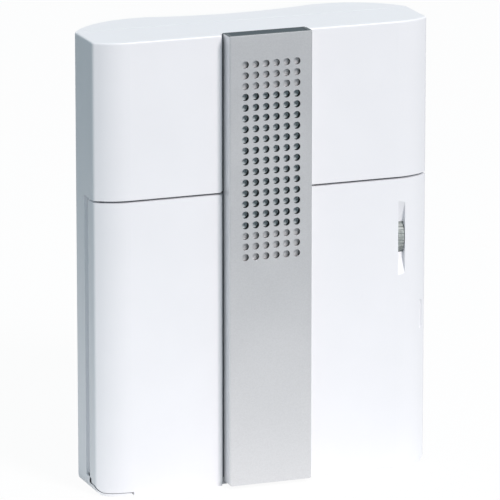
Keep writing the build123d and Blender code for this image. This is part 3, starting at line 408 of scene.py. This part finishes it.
def banded_resistor(body, bands, centres):
    """Lacquered resistor body with colour bands, on tinned copper legs."""
    # The lacquer is glossy over a sandy body, with four narrow bands.
    material, tree, place = new_material("banded resistor")
    pitch, ring_half, body_half = 1.15 * MM, 0.24 * MM, 3.09 * MM
    middle_ring = (len(bands) - 1) / 2
    shade = body
    for centre in centres:
        for index, colour in enumerate(bands):
            ring = band(tree, place, 0, centre + (index - middle_ring) * pitch, ring_half)
            shade = add(tree, "ShaderNodeMix", {0: ring, 6: shade, 7: colour}, data_type="RGBA").outputs[2]
    lacquer = add(tree, "ShaderNodeBsdfPrincipled", {"Roughness": 0.25, "IOR": 1.5, "Base Color": shade})
    on_body = fold(tree, "MAXIMUM", *(band(tree, place, 0, centre, body_half) for centre in centres))
    legs = tin(tree, "#C4C6C5", 0.28)
    mixed = add(tree, "ShaderNodeMixShader", {0: on_body, 1: legs.outputs[0], 2: lacquer.outputs[0]})
    return finish_surface(material, tree, mixed)


def printed_cell(node, plus_sign, sleeve, end_colour):
    """Dry cell: steel can in a printed film sleeve, dark with a metallic band at its plus end."""
    # The film is glossy with faint scuffs, and both ends are bare bright steel.
    material, tree, place = new_material(node + " sleeve")
    low, high = corners(node)
    foot, tip = (low.x, high.x) if plus_sign > 0 else (high.x, low.x)
    end_reach, bare_tip, bare_foot = 14 * MM, 1.75 * MM, 0.35 * MM
    shade = add(tree, "ShaderNodeMix", {0: band(tree, place, 0, tip, end_reach), 6: sleeve, 7: end_colour},
                data_type="RGBA").outputs[2]
    scuffs = mottle(tree, place, 6 * MM, 0.2, 0.34, detail=5.0)
    film = add(tree, "ShaderNodeBsdfPrincipled", {"Metallic": 0.35, "Base Color": shade, "Roughness": scuffs})
    bare = fold(tree, "MAXIMUM", band(tree, place, 0, tip, bare_tip), band(tree, place, 0, foot, bare_foot))
    ends = tin(tree, "#CFCFCB", 0.25)
    mixed = add(tree, "ShaderNodeMixShader", {0: bare, 1: film.outputs[0], 2: ends.outputs[0]})
    return finish_surface(material, tree, mixed)


# Dressing helpers

def give(node_or_piece, material):
    """Gives an object one material."""
    target = nodes[node_or_piece] if isinstance(node_or_piece, str) else node_or_piece
    target.data.materials.clear()
    target.data.materials.append(material)
    return target


def soften_edges(node, width):
    """Rounds a node's sharp edges a little, as a mould or a tool leaves them."""
    target = nodes[node]
    target.data.polygons.foreach_set("use_smooth", [True] * len(target.data.polygons))
    bevel = target.modifiers.new("edge", "BEVEL")
    bevel.width = width
    bevel.segments = 2
    bevel.limit_method = "ANGLE"
    bevel.angle_limit = math.radians(40)
    bevel.harden_normals = True


def smooth(node_or_piece, angle=35):
    """Shades curved faces smooth, and keeps the edges above an angle."""
    target = nodes[node_or_piece] if isinstance(node_or_piece, str) else node_or_piece
    with bpy.context.temp_override(object=target, active_object=target, selected_editable_objects=[target]):
        bpy.ops.object.shade_smooth_by_angle(angle=math.radians(angle))


def piece_from(name, vertices, faces, body, slot):
    """A new mesh piece that rides on a body; the slot is not used."""
    mesh = bpy.data.meshes.new(name)
    mesh.from_pydata([tuple(vertex) for vertex in vertices], [], faces)
    builder = bmesh.new()
    builder.from_mesh(mesh)
    bmesh.ops.remove_doubles(builder, verts=builder.verts, dist=1e-7)
    bmesh.ops.recalc_face_normals(builder, faces=builder.faces)
    builder.to_mesh(mesh)
    builder.free()
    piece = bpy.data.objects.new(name, mesh)
    bpy.context.scene.collection.objects.link(piece)
    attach(piece, body)
    return piece


def lathe_parts(profile, centre, steps):
    """Vertices and faces of a closed profile of radius and depth, turned about a front-back axis."""
    vertices = []
    faces = []
    count = len(profile)
    for step in range(steps):
        angle = 2 * math.pi * step / steps
        for radius, depth in profile:
            x, z = centre[0] + radius * math.cos(angle), centre[2] + radius * math.sin(angle)
            vertices.append((x, -depth, z))
    for step in range(steps):
        here, there = step * count, (step + 1) % steps * count
        for index in range(count):
            after = (index + 1) % count
            faces.append((here + index, here + after, there + after, there + index))
    return vertices, faces


def join_parts(parts):
    """Joins lists of vertices and faces into one."""
    vertices = []
    faces = []
    for part_vertices, part_faces in parts:
        start = len(vertices)
        vertices += part_vertices
        faces += [tuple(start + index for index in face) for face in part_faces]
    return vertices, faces


def resistor_middles():
    """The middle of each resistor in x and z and half its length, read from the node's own solids."""
    builder = bmesh.new()
    builder.from_mesh(nodes["resistors"].data)
    bmesh.ops.remove_doubles(builder, verts=builder.verts, dist=1e-6)
    seen = set()
    spots = []
    for vertex in builder.verts:
        if vertex in seen:
            continue
        group = [vertex]
        seen.add(vertex)
        for member in group:
            for edge in member.link_edges:
                other = edge.other_vert(member)
                if other not in seen:
                    seen.add(other)
                    group.append(other)
        xs = [member.co.x for member in group]
        zs = [member.co.z for member in group]
        spots.append(((min(xs) + max(xs)) / 2, (min(zs) + max(zs)) / 2, (max(xs) - min(xs)) / 2))
    builder.free()
    return spots


# Settings

class CaseSettings(bpy.types.PropertyGroup):
    """Finish of the white case."""

    white: hex_property("White", "#F0F0F3", "Colour of the case's moulding")
    roughness: factor_property("Roughness", 0.42, "How far the satin surface spreads a highlight")
    edge: length_property("Edge", 0.18 * MM, "Radius that the mould leaves on sharp edges")


class StripSettings(bpy.types.PropertyGroup):
    """Finish of the perforated strip and what lies behind it."""

    silver: hex_property("Silver", "#E2E4E7", "Colour of the silver lacquer")
    silver_roughness: factor_property("Silver roughness", 0.4, "How far the lacquer spreads a highlight")
    # The near-black bare colour is also painted shade on the hole walls.
    bare: hex_property("Bare moulding", "#1A1C1E", "Colour of the strip's unpainted inside")
    sprayed_depth: length_property("Sprayed depth", 0.2 * MM, "How deep the spray reaches in the holes")
    blind_depth: length_property("Blind depth", 1.7 * MM, "How deep the spray reaches in the blind holes")
    side_wall: length_property("Side wall", 1.5 * MM, "Thickness of the strip's sides that the spray covers")
    sheet: length_property("Sheet", 0.6 * MM, "How far the spray covers the strip's cut ends")
    field_half: length_property("Field half height", 42 * MM, "Half the height of the rows of holes")
    rail: hex_property("Rail", "#37464D", "Colour of the rail")
    cloth: hex_property("Cloth", "#E8F4F8", "Colour of the speaker cloth")
    thread: length_property("Thread", 0.3 * MM, "Spacing of the cloth's threads")


class WheelSettings(bpy.types.PropertyGroup):
    """Finish of the volume wheel."""

    grey: hex_property("Grey", "#A9AFAC", "Colour of the wheel")


class SpeakerSettings(bpy.types.PropertyGroup):
    """Finish of the loudspeaker."""

    steel: hex_property("Steel", "#A9ABA9", "Colour of the pressed frame")
    plate: hex_property("Plate", "#BDBBB2", "Colour of the plated magnet parts")
    ferrite: hex_property("Ferrite", "#2D2D2F", "Colour of the magnet")
    cone: hex_property("Cone", "#37342F", "Colour of the paper cone")
    card: hex_property("Card", "#6A6862", "Colour of the gasket card")
    copper: hex_property("Copper", "#B4652F", "Colour of the coil's wire")
    ribs: bpy.props.IntProperty(name="Ribs", description="Pressed rings in the cone", default=5, min=0,
                                max=12)


class BoardSettings(bpy.types.PropertyGroup):
    """Finish of the circuit board and its parts."""

    lacquer: hex_property("Lacquer", "#14552F", "Colour of the board's lacquer")
    track: hex_property("Track", "#2C7A48", "Colour of the lacquer over copper")
    epoxy: hex_property("Epoxy", "#1D1E20", "Colour of the chips")
    terminal: hex_property("Terminal", "#5F7580", "Colour of the terminal block")
    sleeve: hex_property("Sleeve", "#1C2440", "Colour of the capacitors' sleeves")
    resistor: hex_property("Resistor", "#C9AE7E", "Colour of the resistors")
    track_width: length_property("Track width", 0.8 * MM, "Width of the copper tracks")
    track_height: length_property("Track height", 0.05 * MM, "Height of the tracks under the lacquer")


class CellSettings(bpy.types.PropertyGroup):
    """Finish of the battery box, its cells and the leads."""

    box: hex_property("Box", "#303234", "Colour of the battery box")
    sleeve: hex_property("Sleeve", "#26303A", "Colour of the cells' sleeves")
    band: hex_property("Band", "#B98A4A", "Colour of the band at a cell's plus end")
    red: hex_property("Red lead", "#B0211B", "Colour of the plus leads")
    black: hex_property("Black lead", "#1B1B1C", "Colour of the minus leads")


class StageSettings(bpy.types.PropertyGroup):
    """Camera, lamps and floor."""

    camera_place: bpy.props.FloatVectorProperty(
        name="Camera place", description="Where the camera stands", size=3, subtype="TRANSLATION",
        unit="LENGTH", default=(-0.7404, -2.0061, 0.5468))
    turn: bpy.props.FloatProperty(name="Turn", description="How far round to the left the camera stands",
                                  default=math.radians(20.49), subtype="ANGLE", unit="ROTATION")
    tilt: bpy.props.FloatProperty(name="Tilt", description="How far down the camera looks",
                                  default=math.radians(14.51), subtype="ANGLE", unit="ROTATION")
    lens: bpy.props.FloatProperty(name="Lens", description="Focal length in millimetres on a 36 mm sensor",
                                  default=396.0, min=1)
    near_floor: hex_property("Near floor", "#F5F3F2", "Colour of the light from the floor near by")
    far_floor: hex_property("Far floor", "#6C7478", "Colour of the light from the floor far off")
    floor_middle: bpy.props.FloatVectorProperty(
        name="Floor middle", description="Middle of the pale part of the floor", size=2,
        subtype="TRANSLATION", unit="LENGTH", default=(-0.07, 0.02))
    near_reach: length_property("Near reach", 0.1, "How far from its middle the floor starts to darken")
    far_reach: length_property("Far reach", 0.6, "How far from its middle the floor stops darkening")
    floor_glow: factor_property("Floor glow", 0.95, "How much of the floor that is seen gives its own light")
    shade: hex_property("Shade", "#D4ECF7", "Colour of the light from all round")
    ambient: factor_property("Ambient", 0.51, "Strength of the light from all round")
    key_place: bpy.props.FloatVectorProperty(
        name="Key place", description="Where the soft key lamp hangs", size=3, subtype="TRANSLATION",
        unit="LENGTH", default=(0.52, -1.58, 1.4))
    key_size: length_property("Key size", 0.5, "Side of the square key lamp")
    key_power: bpy.props.FloatProperty(name="Key power", description="Power of the key lamp in watts",
                                       default=36.3, min=0)
    key_colour: hex_property("Key colour", "#FFF7F5", "Colour of the key lamp")


# Operators

class DressCase(bpy.types.Operator):
    """Gives the case its satin white moulding"""

    bl_idname = "chime.dress_case"
    bl_label = "Dress the case"

    def execute(self, context):
        finish = context.scene.chime_case
        white = moulded_white_abs(finish)
        for name in ("wall_tray", "housing", "lower_cover"):
            give(name, white)
            soften_edges(name, finish.edge)
        return {"FINISHED"}


class DressStrip(bpy.types.Operator):
    """Gives the strip its silver lacquer and lays the speaker cloth"""

    bl_idname = "chime.dress_strip"
    bl_label = "Dress the strip"

    def execute(self, context):
        finish = context.scene.chime_strip
        give("grille_strip", silver_lacquer_on_abs(finish))
        smooth("grille_strip")
        give("strip_rail", moulded_plastic("moulded dark ABS", finish.rail, 0.75))
        self.lay_cloth(finish)
        return {"FINISHED"}

    def lay_cloth(self, finish):
        """A cloth stretched behind the strip's open holes, slack by a hair between its glued edges."""
        low, high = corners("speaker_cloth")
        across, up = 31, 59
        margin_share = 0.1
        slack = 0.03 * MM
        waves_across, waves_up = 21, 33
        vertices = []
        for side in (0, 1):
            for row in range(up + 1):
                for column in range(across + 1):
                    u, v = column / across, row / up
                    free = min(1, min(u, 1 - u, v, 1 - v) / margin_share)
                    ripple = slack * (1 + math.sin(u * waves_across) * math.sin(v * waves_up))
                    depth = (high.y if side else low.y) + free * ripple
                    vertices.append((low.x + u * (high.x - low.x), depth, low.z + v * (high.z - low.z)))
        layer = (across + 1) * (up + 1)
        faces = []
        for row in range(up):
            for column in range(across):
                first = row * (across + 1) + column
                quad = (first, first + 1, first + across + 2, first + across + 1)
                faces.append(quad)
                faces.append(tuple(layer + index for index in reversed(quad)))
        rim = list(range(across + 1))
        rim += [(row + 1) * (across + 1) + across for row in range(up)]
        rim += [up * (across + 1) + column for column in range(across - 1, -1, -1)]
        rim += [row * (across + 1) for row in range(up - 1, 0, -1)]
        for here, there in zip(rim, rim[1:] + rim[:1]):
            faces.append((here, there, layer + there, layer + here))
        cloth = piece_from("grille_cloth", vertices, faces, "service_cover", "cloth_grey")
        give(cloth, woven_polyester(finish.cloth, finish.thread))
        smooth(cloth)
        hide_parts("speaker_cloth")


class DressWheel(bpy.types.Operator):
    """Gives the volume wheel its grey plastic, with handling grime and painted shade between the ribs"""

    bl_idname = "chime.dress_wheel"
    bl_label = "Dress the wheel"

    def execute(self, context):
        give("volume_wheel", acetal_with_grime_and_painted_shade(context.scene.chime_wheel.grey))
        smooth("volume_wheel")
        return {"FINISHED"}


class DressSpeaker(bpy.types.Operator):
    """Dresses the loudspeaker and gives it a ribbed cone and a fine surround"""

    bl_idname = "chime.dress_speaker"
    bl_label = "Dress the loudspeaker"

    def execute(self, context):
        finish = context.scene.chime_speaker
        give("speaker_basket", bright_metal("pressed zinc-plated steel", finish.steel, 0.42, grain=3 * MM))
        plate = bright_metal("plated magnet steel", finish.plate, 0.36, grain=2 * MM)
        for name in ("speaker_top_plate", "speaker_yoke"):
            give(name, plate)
        give("speaker_magnet", sintered_ferrite(finish.ferrite))
        give("speaker_gasket", pressed_fibre("pressed grey card", finish.card, 0.7 * MM))
        give("voice_coil", enamelled_winding(finish.copper, 0.2 * MM))
        paper = pressed_fibre("pressed paper pulp", finish.cone, 0.6 * MM)
        give("dust_cap", paper)
        for name in ("speaker_basket", "speaker_top_plate", "speaker_yoke", "speaker_magnet",
                     "speaker_gasket", "voice_coil", "dust_cap"):
            smooth(name)
        self.make_cone(finish, paper)
        self.make_surround(finish)
        return {"FINISHED"}

    def make_cone(self, finish, paper):
        """The cone, with pressed rings between its neck and its rim."""
        low, high = corners("speaker_cone")
        rim = (high.x - low.x) / 2
        front, back = -low.y, -high.y
        neck = 7.1 * MM
        sheet = 0.45 * MM
        ring_height = 0.16 * MM
        steps = 40
        face = []
        rear = []
        for step in range(steps + 1):
            share = step / steps
            radius = neck + share * (rim - neck)
            wave = ring_height * math.sin(share * finish.ribs * 2 * math.pi) * math.sin(math.pi * share)
            depth = min(back + sheet + share * (front - back - sheet) + wave, front)
            face.append((radius, depth))
            rear.append((radius, max(depth - sheet, back)))
        parts = lathe_parts(face + rear[::-1], SPEAKER, 96)
        cone = piece_from("ribbed_cone", *parts, "diaphragm", "cone_paper")
        give(cone, paper)
        smooth(cone, 60)
        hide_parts("speaker_cone")

    def make_surround(self, finish):
        """The half-roll edge, glued flat to the frame outside the roll."""
        low, high = corners("speaker_surround")
        outer = (high.x - low.x) / 2
        base, crest = -high.y, -low.y
        rise = crest - base
        glued_width = 1.8 * MM
        cone_edge = 20.6 * MM
        sheet = 0.35 * MM
        steps = 24
        inner = max(outer - glued_width - 2 * rise, cone_edge)
        mid = inner + rise
        over = []
        under = []
        for step in range(steps + 1):
            angle = math.pi * step / steps
            over.append((mid - rise * math.cos(angle), base + rise * math.sin(angle)))
            under.append((mid - (rise - sheet) * math.cos(angle), base + (rise - sheet) * math.sin(angle)))
        over[-1] = (inner + 2 * rise, base + sheet)
        parts = lathe_parts(over + [(outer, base + sheet), (outer, base)] + under[::-1], SPEAKER, 96)
        surround = piece_from("half_roll_surround", *parts, "root", "surround_cloth")
        give(surround, moulded_plastic("treated cloth", deepen(finish.cone, 0.5), 0.6, grain=0.4 * MM,
                                       depth=0.03 * MM))
        smooth(surround, 50)
        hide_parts("speaker_surround")


class DressBoard(bpy.types.Operator):
    """Dresses the circuit board, and adds its tracks and solder"""

    bl_idname = "chime.dress_board"
    bl_label = "Dress the board"

    def execute(self, context):
        finish = context.scene.chime_board
        give("circuit_board", lacquered_board(finish.lacquer))
        for name in ("tone_chip", "amplifier_chip"):
            give(name, marked_epoxy(name, finish.epoxy))
        give("rectifier", moulded_plastic("moulded epoxy", finish.epoxy, 0.5))
        for name in ("supply_capacitor", "output_capacitor"):
            give(name, sleeved_can(name, finish.sleeve, linear("#B9BCC2")))
            smooth(name)
        bands = [linear(colour) for colour in ("#5A3A1E", "#1A1A1A", "#C0392B", "#B8923A")]
        centres = sorted({round(x, 5) for x, z, half in resistor_middles()})
        give("resistors", banded_resistor(finish.resistor, bands, centres))
        smooth("resistors")
        give("terminal_block", moulded_plastic("moulded polyamide", finish.terminal, 0.45))
        give("volume_pot", moulded_plastic("moulded phenolic", finish.epoxy, 0.45))
        give("tone_switch", moulded_plastic("moulded switch body", deepen(finish.epoxy, 1.6), 0.5))
        give("tone_slider", moulded_plastic("moulded white knob", linear("#D9D9D4"), 0.4))
        self.add_tracks(finish)
        self.add_solder()
        return {"FINISHED"}

    def leg_places(self, name, legs):
        """Feet of a chip's legs, as x, z and which side."""
        low, high = corners(name)
        mid_z = (low.z + high.z) / 2
        return [(side_x, mid_z + (leg - (legs - 1) / 2) * LEG_PITCH, side)
                for side_x, side in ((low.x, -1), (high.x, 1)) for leg in range(legs)]

    def add_tracks(self, finish):
        """Copper tracks under the lacquer, each in straight and slanted runs."""
        low, high = corners("circuit_board")
        width, height = finish.track_width, finish.track_height
        first_reach, fan_step, slant, first_drop, edge = 2.2 * MM, 0.45 * MM, 0.8 * MM, 3 * MM, 2 * MM
        parts = []
        for name, legs in CHIPS:
            for x, z, side in self.leg_places(name, legs):
                rank = round((z - middle(name).z) / LEG_PITCH * 2)
                up = math.copysign(1, rank or 1)
                reach = x + side * (first_reach + fan_step * abs(rank))
                aside = reach + side * slant
                end = z + up * (slant + first_drop + abs(rank) * MM)
                end = min(max(end, low.z + edge), high.z - edge)
                run = [(x, z), (reach, z), (aside, z + up * slant), (aside, end)]
                parts.append(self.ribbon(run, width, height))
        block = corners("terminal_block")[1]
        pole_pitch, pole_inset, first_turn, turn_step, drop = 5 * MM, 4 * MM, 1.6 * MM, 1.3 * MM, 9 * MM
        for index in range(5):
            z = block.z - (index + 0.5) * pole_pitch
            turn = block.x + first_turn + index * turn_step
            run = [(block.x - pole_inset, z), (turn, z), (turn + edge, z - edge), (turn + edge, z - drop)]
            parts.append(self.ribbon(run, width * 1.5, height))
        inset = 1.6 * MM
        right, bottom = high.x - inset, low.z + inset
        run = [(low.x + 3 * MM, bottom), (right, bottom), (right, high.z - inset)]
        parts.append(self.ribbon(run, width * 2, height))
        tracks = piece_from("board_tracks", *join_parts(parts), "root", "board_green")
        give(tracks, lacquered_board(finish.track))

    def ribbon(self, run, width, height):
        """A flat raised strip along points of x and z on the board's front."""
        vertices = []
        faces = []
        for (x0, z0), (x1, z1) in zip(run, run[1:]):
            along = Vector((x1 - x0, z1 - z0))
            if along.length < 1e-6:
                continue
            tip = along.normalized() * width / 2
            start = len(vertices)
            for depth in (BOARD_FRONT, BOARD_FRONT - height):
                for x, z, side, end in ((x0, z0, 1, -1), (x0, z0, -1, -1), (x1, z1, -1, 1), (x1, z1, 1, 1)):
                    vertices.append((x - tip.y * side + tip.x * end, depth, z + tip.x * side + tip.y * end))
            faces += [tuple(start + index for index in ring) for ring in ((0, 1, 2, 3), (7, 6, 5, 4))]
            for side in range(4):
                after = (side + 1) % 4
                faces.append((start + side, start + after, start + 4 + after, start + 4 + side))
        return vertices, faces

    def add_solder(self):
        """Bright solder fillets at the legs and the leads' ends."""
        # A fillet is its radius and its height.
        leg_inset, leg_fillet = 0.2 * MM, (0.75 * MM, 0.5 * MM)
        wire_inset, wire_fillet = 0.3 * MM, (0.8 * MM, 0.8 * MM)
        lead_radius, lead_fillet = 0.65 * MM, (1.3 * MM, 0.9 * MM)
        spots = []
        for name, legs in CHIPS:
            for x, z, side in self.leg_places(name, legs):
                spots.append((x - side * leg_inset, z, *leg_fillet))
        for x, z, half in resistor_middles():
            for side in (-1, 1):
                spots.append((x + side * (half - wire_inset), z, *wire_fillet))
        for name in ("speaker_lead_plus", "speaker_lead_minus", "battery_lead_plus", "battery_lead_minus"):
            low, high = corners(name)
            spots.append((high.x - lead_radius, low.z + lead_radius, *lead_fillet))
        core, front = 0.02 * MM, -BOARD_FRONT
        fillet_shares = ((1, 0), (0.72, 0.22), (0.5, 0.55), (0.36, 1))
        parts = []
        for x, z, radius, height in spots:
            fillet = [(radius * out, front + height * up) for out, up in fillet_shares]
            profile = [(core, front), *fillet, (core, front + height)]
            parts.append(lathe_parts(profile, (x, 0, z), 14))
        solder = piece_from("solder_joints", *join_parts(parts), "root", "contact_nickel")
        give(solder, bright_metal("tin solder", linear("#C6C8C9"), 0.24, grain=1.5 * MM))
        smooth(solder, 60)


class DressPower(bpy.types.Operator):
    """Dresses the battery box, its cells, its contacts and the leads"""

    bl_idname = "chime.dress_power"
    bl_label = "Dress the batteries and leads"

    def execute(self, context):
        finish = context.scene.chime_cells
        give("battery_box", moulded_plastic("moulded polypropylene", finish.box, 0.48))
        for index in range(4):
            name = f"battery_cell_{index + 1}"
            give(name, printed_cell(name, 1 if index % 2 else -1, finish.sleeve, finish.band))
            smooth(name)
        nickel = bright_metal("nickel-plated spring steel", linear("#C8C6BC"), 0.26, grain=2 * MM)
        give("battery_contacts", nickel)
        for name, colour in (("speaker_lead_plus", finish.red), ("speaker_lead_minus", finish.black),
                             ("battery_lead_plus", finish.red), ("battery_lead_minus", finish.black)):
            give(name, moulded_plastic(name.replace("_", " ") + " PVC", colour, 0.35, grain=0.8 * MM))
            smooth(name)
        return {"FINISHED"}


class DressFasteners(bpy.types.Operator):
    """Gives the screws and clips their zinc plating"""

    bl_idname = "chime.dress_fasteners"
    bl_label = "Dress the fasteners"

    def execute(self, context):
        zinc = bright_metal("bright zinc plating", linear("#C3C5C4"), 0.3, grain=1.2 * MM)
        for name in ("rail_screws", "speaker_screws", "board_screws", "housing_screw", "terminal_screws",
                     "speaker_clips"):
            give(name, zinc)
            smooth(name)
        return {"FINISHED"}


class SetStage(bpy.types.Operator):
    """Sets the floor, the lamps and the camera"""

    bl_idname = "chime.set_stage"
    bl_label = "Set the stage"

    def execute(self, context):
        settings = context.scene.chime_stage
        scene = context.scene
        scene.view_settings.view_transform = "Standard"
        self.lay_floor(settings)
        self.set_world(settings)
        self.hang_key(settings)
        self.place_camera(settings)
        return {"FINISHED"}

    def lay_floor(self, settings):
        """A pale floor under the object, seen nearly white, that keeps a soft shadow."""
        level = cad_box[0][2]
        reach = 4.0
        mesh = bpy.data.meshes.new("floor")
        mesh.from_pydata([(-reach, -reach, level), (reach, -reach, level), (reach, reach, level),
                          (-reach, reach, level)], [], [(0, 1, 2, 3)])
        floor = bpy.data.objects.new("floor", mesh)
        bpy.context.scene.collection.objects.link(floor)
        material, tree, place = new_material("pale floor")
        away = add(tree, "ShaderNodeVectorMath", {0: place, 1: (*settings.floor_middle, 0)},
                   operation="DISTANCE").outputs["Value"]
        far = add(tree, "ShaderNodeMapRange", {"Value": away, "From Min": settings.near_reach,
                                               "From Max": settings.far_reach},
                  interpolation_type="SMOOTHSTEP").outputs[0]
        plain = add(tree, "ShaderNodeMix", {0: far, 6: settings.near_floor, 7: settings.far_floor},
                    data_type="RGBA").outputs[2]
        camera_ray, seen = self.seen_rays(tree)
        glow = add(tree, "ShaderNodeMix", {0: camera_ray, 6: plain, 7: (1, 1, 1, 1)},
                   data_type="RGBA").outputs[2]
        matt = add(tree, "ShaderNodeBsdfDiffuse", {"Color": glow})
        lit = add(tree, "ShaderNodeEmission", {"Color": glow, "Strength": 1.0})
        glowing = add(tree, "ShaderNodeMath", {0: seen, 1: settings.floor_glow},
                      operation="MULTIPLY").outputs[0]
        mixed = add(tree, "ShaderNodeMixShader", {0: glowing, 1: matt.outputs[0], 2: lit.outputs[0]})
        floor.data.materials.append(finish_surface(material, tree, mixed))

    def seen_rays(self, tree):
        """A mask for the camera's own rays, and one that adds those in mirrors and through clear matter."""
        rays = add(tree, "ShaderNodeLightPath").outputs
        kinds = [rays[f"Is {kind} Ray"] for kind in ("Camera", "Glossy", "Transmission")]
        return kinds[0], fold(tree, "MAXIMUM", *kinds)

    def set_world(self, settings):
        """A world that is white to look at and gives a low even light."""
        world = bpy.data.worlds.new("studio")
        world.use_nodes = True
        tree = world.node_tree
        tree.nodes.clear()
        seen = self.seen_rays(tree)[1]
        soft = add(tree, "ShaderNodeBackground", {"Color": settings.shade, "Strength": settings.ambient})
        plain = add(tree, "ShaderNodeBackground", {"Color": (1, 1, 1, 1), "Strength": 1.0})
        mixed = add(tree, "ShaderNodeMixShader", {0: seen, 1: soft.outputs[0], 2: plain.outputs[0]})
        add(tree, "ShaderNodeOutputWorld", {"Surface": mixed.outputs[0]})
        bpy.context.scene.world = world

    def hang_key(self, settings):
        """A square soft lamp that faces the object from the front right, above it."""
        lamp = bpy.data.lights.new("key", "AREA")
        lamp.size = settings.key_size
        lamp.energy = settings.key_power
        lamp.color = settings.key_colour[:3]
        holder = bpy.data.objects.new("key", lamp)
        holder.location = settings.key_place
        holder.rotation_euler = (-Vector(settings.key_place)).to_track_quat("-Z", "Y").to_euler()
        bpy.context.scene.collection.objects.link(holder)

    def place_camera(self, settings):
        """The camera at the photograph's angle."""
        camera = bpy.data.cameras.new("camera")
        camera.sensor_width = 36
        camera.lens = settings.lens
        camera.clip_end = 20
        holder = bpy.data.objects.new("camera", camera)
        turn, tilt = settings.turn, settings.tilt
        ahead = Vector((math.sin(turn) * math.cos(tilt), math.cos(turn) * math.cos(tilt), -math.sin(tilt)))
        holder.location = settings.camera_place
        holder.rotation_euler = ahead.to_track_quat("-Z", "Y").to_euler()
        bpy.context.scene.collection.objects.link(holder)
        bpy.context.scene.camera = holder


class ChimePanel(bpy.types.Panel):
    """Lists the steps that dress the chime box"""

    bl_idname = "VIEW3D_PT_chime"
    bl_label = "Chime box"
    bl_space_type = "VIEW_3D"
    bl_region_type = "UI"
    bl_category = "Chime box"

    def draw(self, context):
        for operator in OPERATORS:
            self.layout.operator(operator.bl_idname)
        for name in SETTINGS:
            group = getattr(context.scene, name)
            box = self.layout.box()
            for key in group.__annotations__:
                box.prop(group, key)


OPERATORS = (DressCase, DressStrip, DressWheel, DressSpeaker, DressBoard, DressPower, DressFasteners,
             SetStage)
SETTINGS = {
    "chime_case": CaseSettings,
    "chime_strip": StripSettings,
    "chime_wheel": WheelSettings,
    "chime_speaker": SpeakerSettings,
    "chime_board": BoardSettings,
    "chime_cells": CellSettings,
    "chime_stage": StageSettings,
}


def register():
    for item in (*SETTINGS.values(), *OPERATORS, ChimePanel):
        bpy.utils.register_class(item)
    for name, group in SETTINGS.items():
        setattr(bpy.types.Scene, name, bpy.props.PointerProperty(type=group))


def unregister():
    for name in SETTINGS:
        delattr(bpy.types.Scene, name)
    for item in (ChimePanel, *reversed(OPERATORS), *reversed(list(SETTINGS.values()))):
        bpy.utils.unregister_class(item)


def main():
    register()
    bpy.ops.chime.dress_case()
    bpy.ops.chime.dress_strip()
    bpy.ops.chime.dress_wheel()
    bpy.ops.chime.dress_speaker()
    bpy.ops.chime.dress_board()
    bpy.ops.chime.dress_power()
    bpy.ops.chime.dress_fasteners()
    bpy.ops.chime.set_stage()


if __name__ == "__main__":
    main()
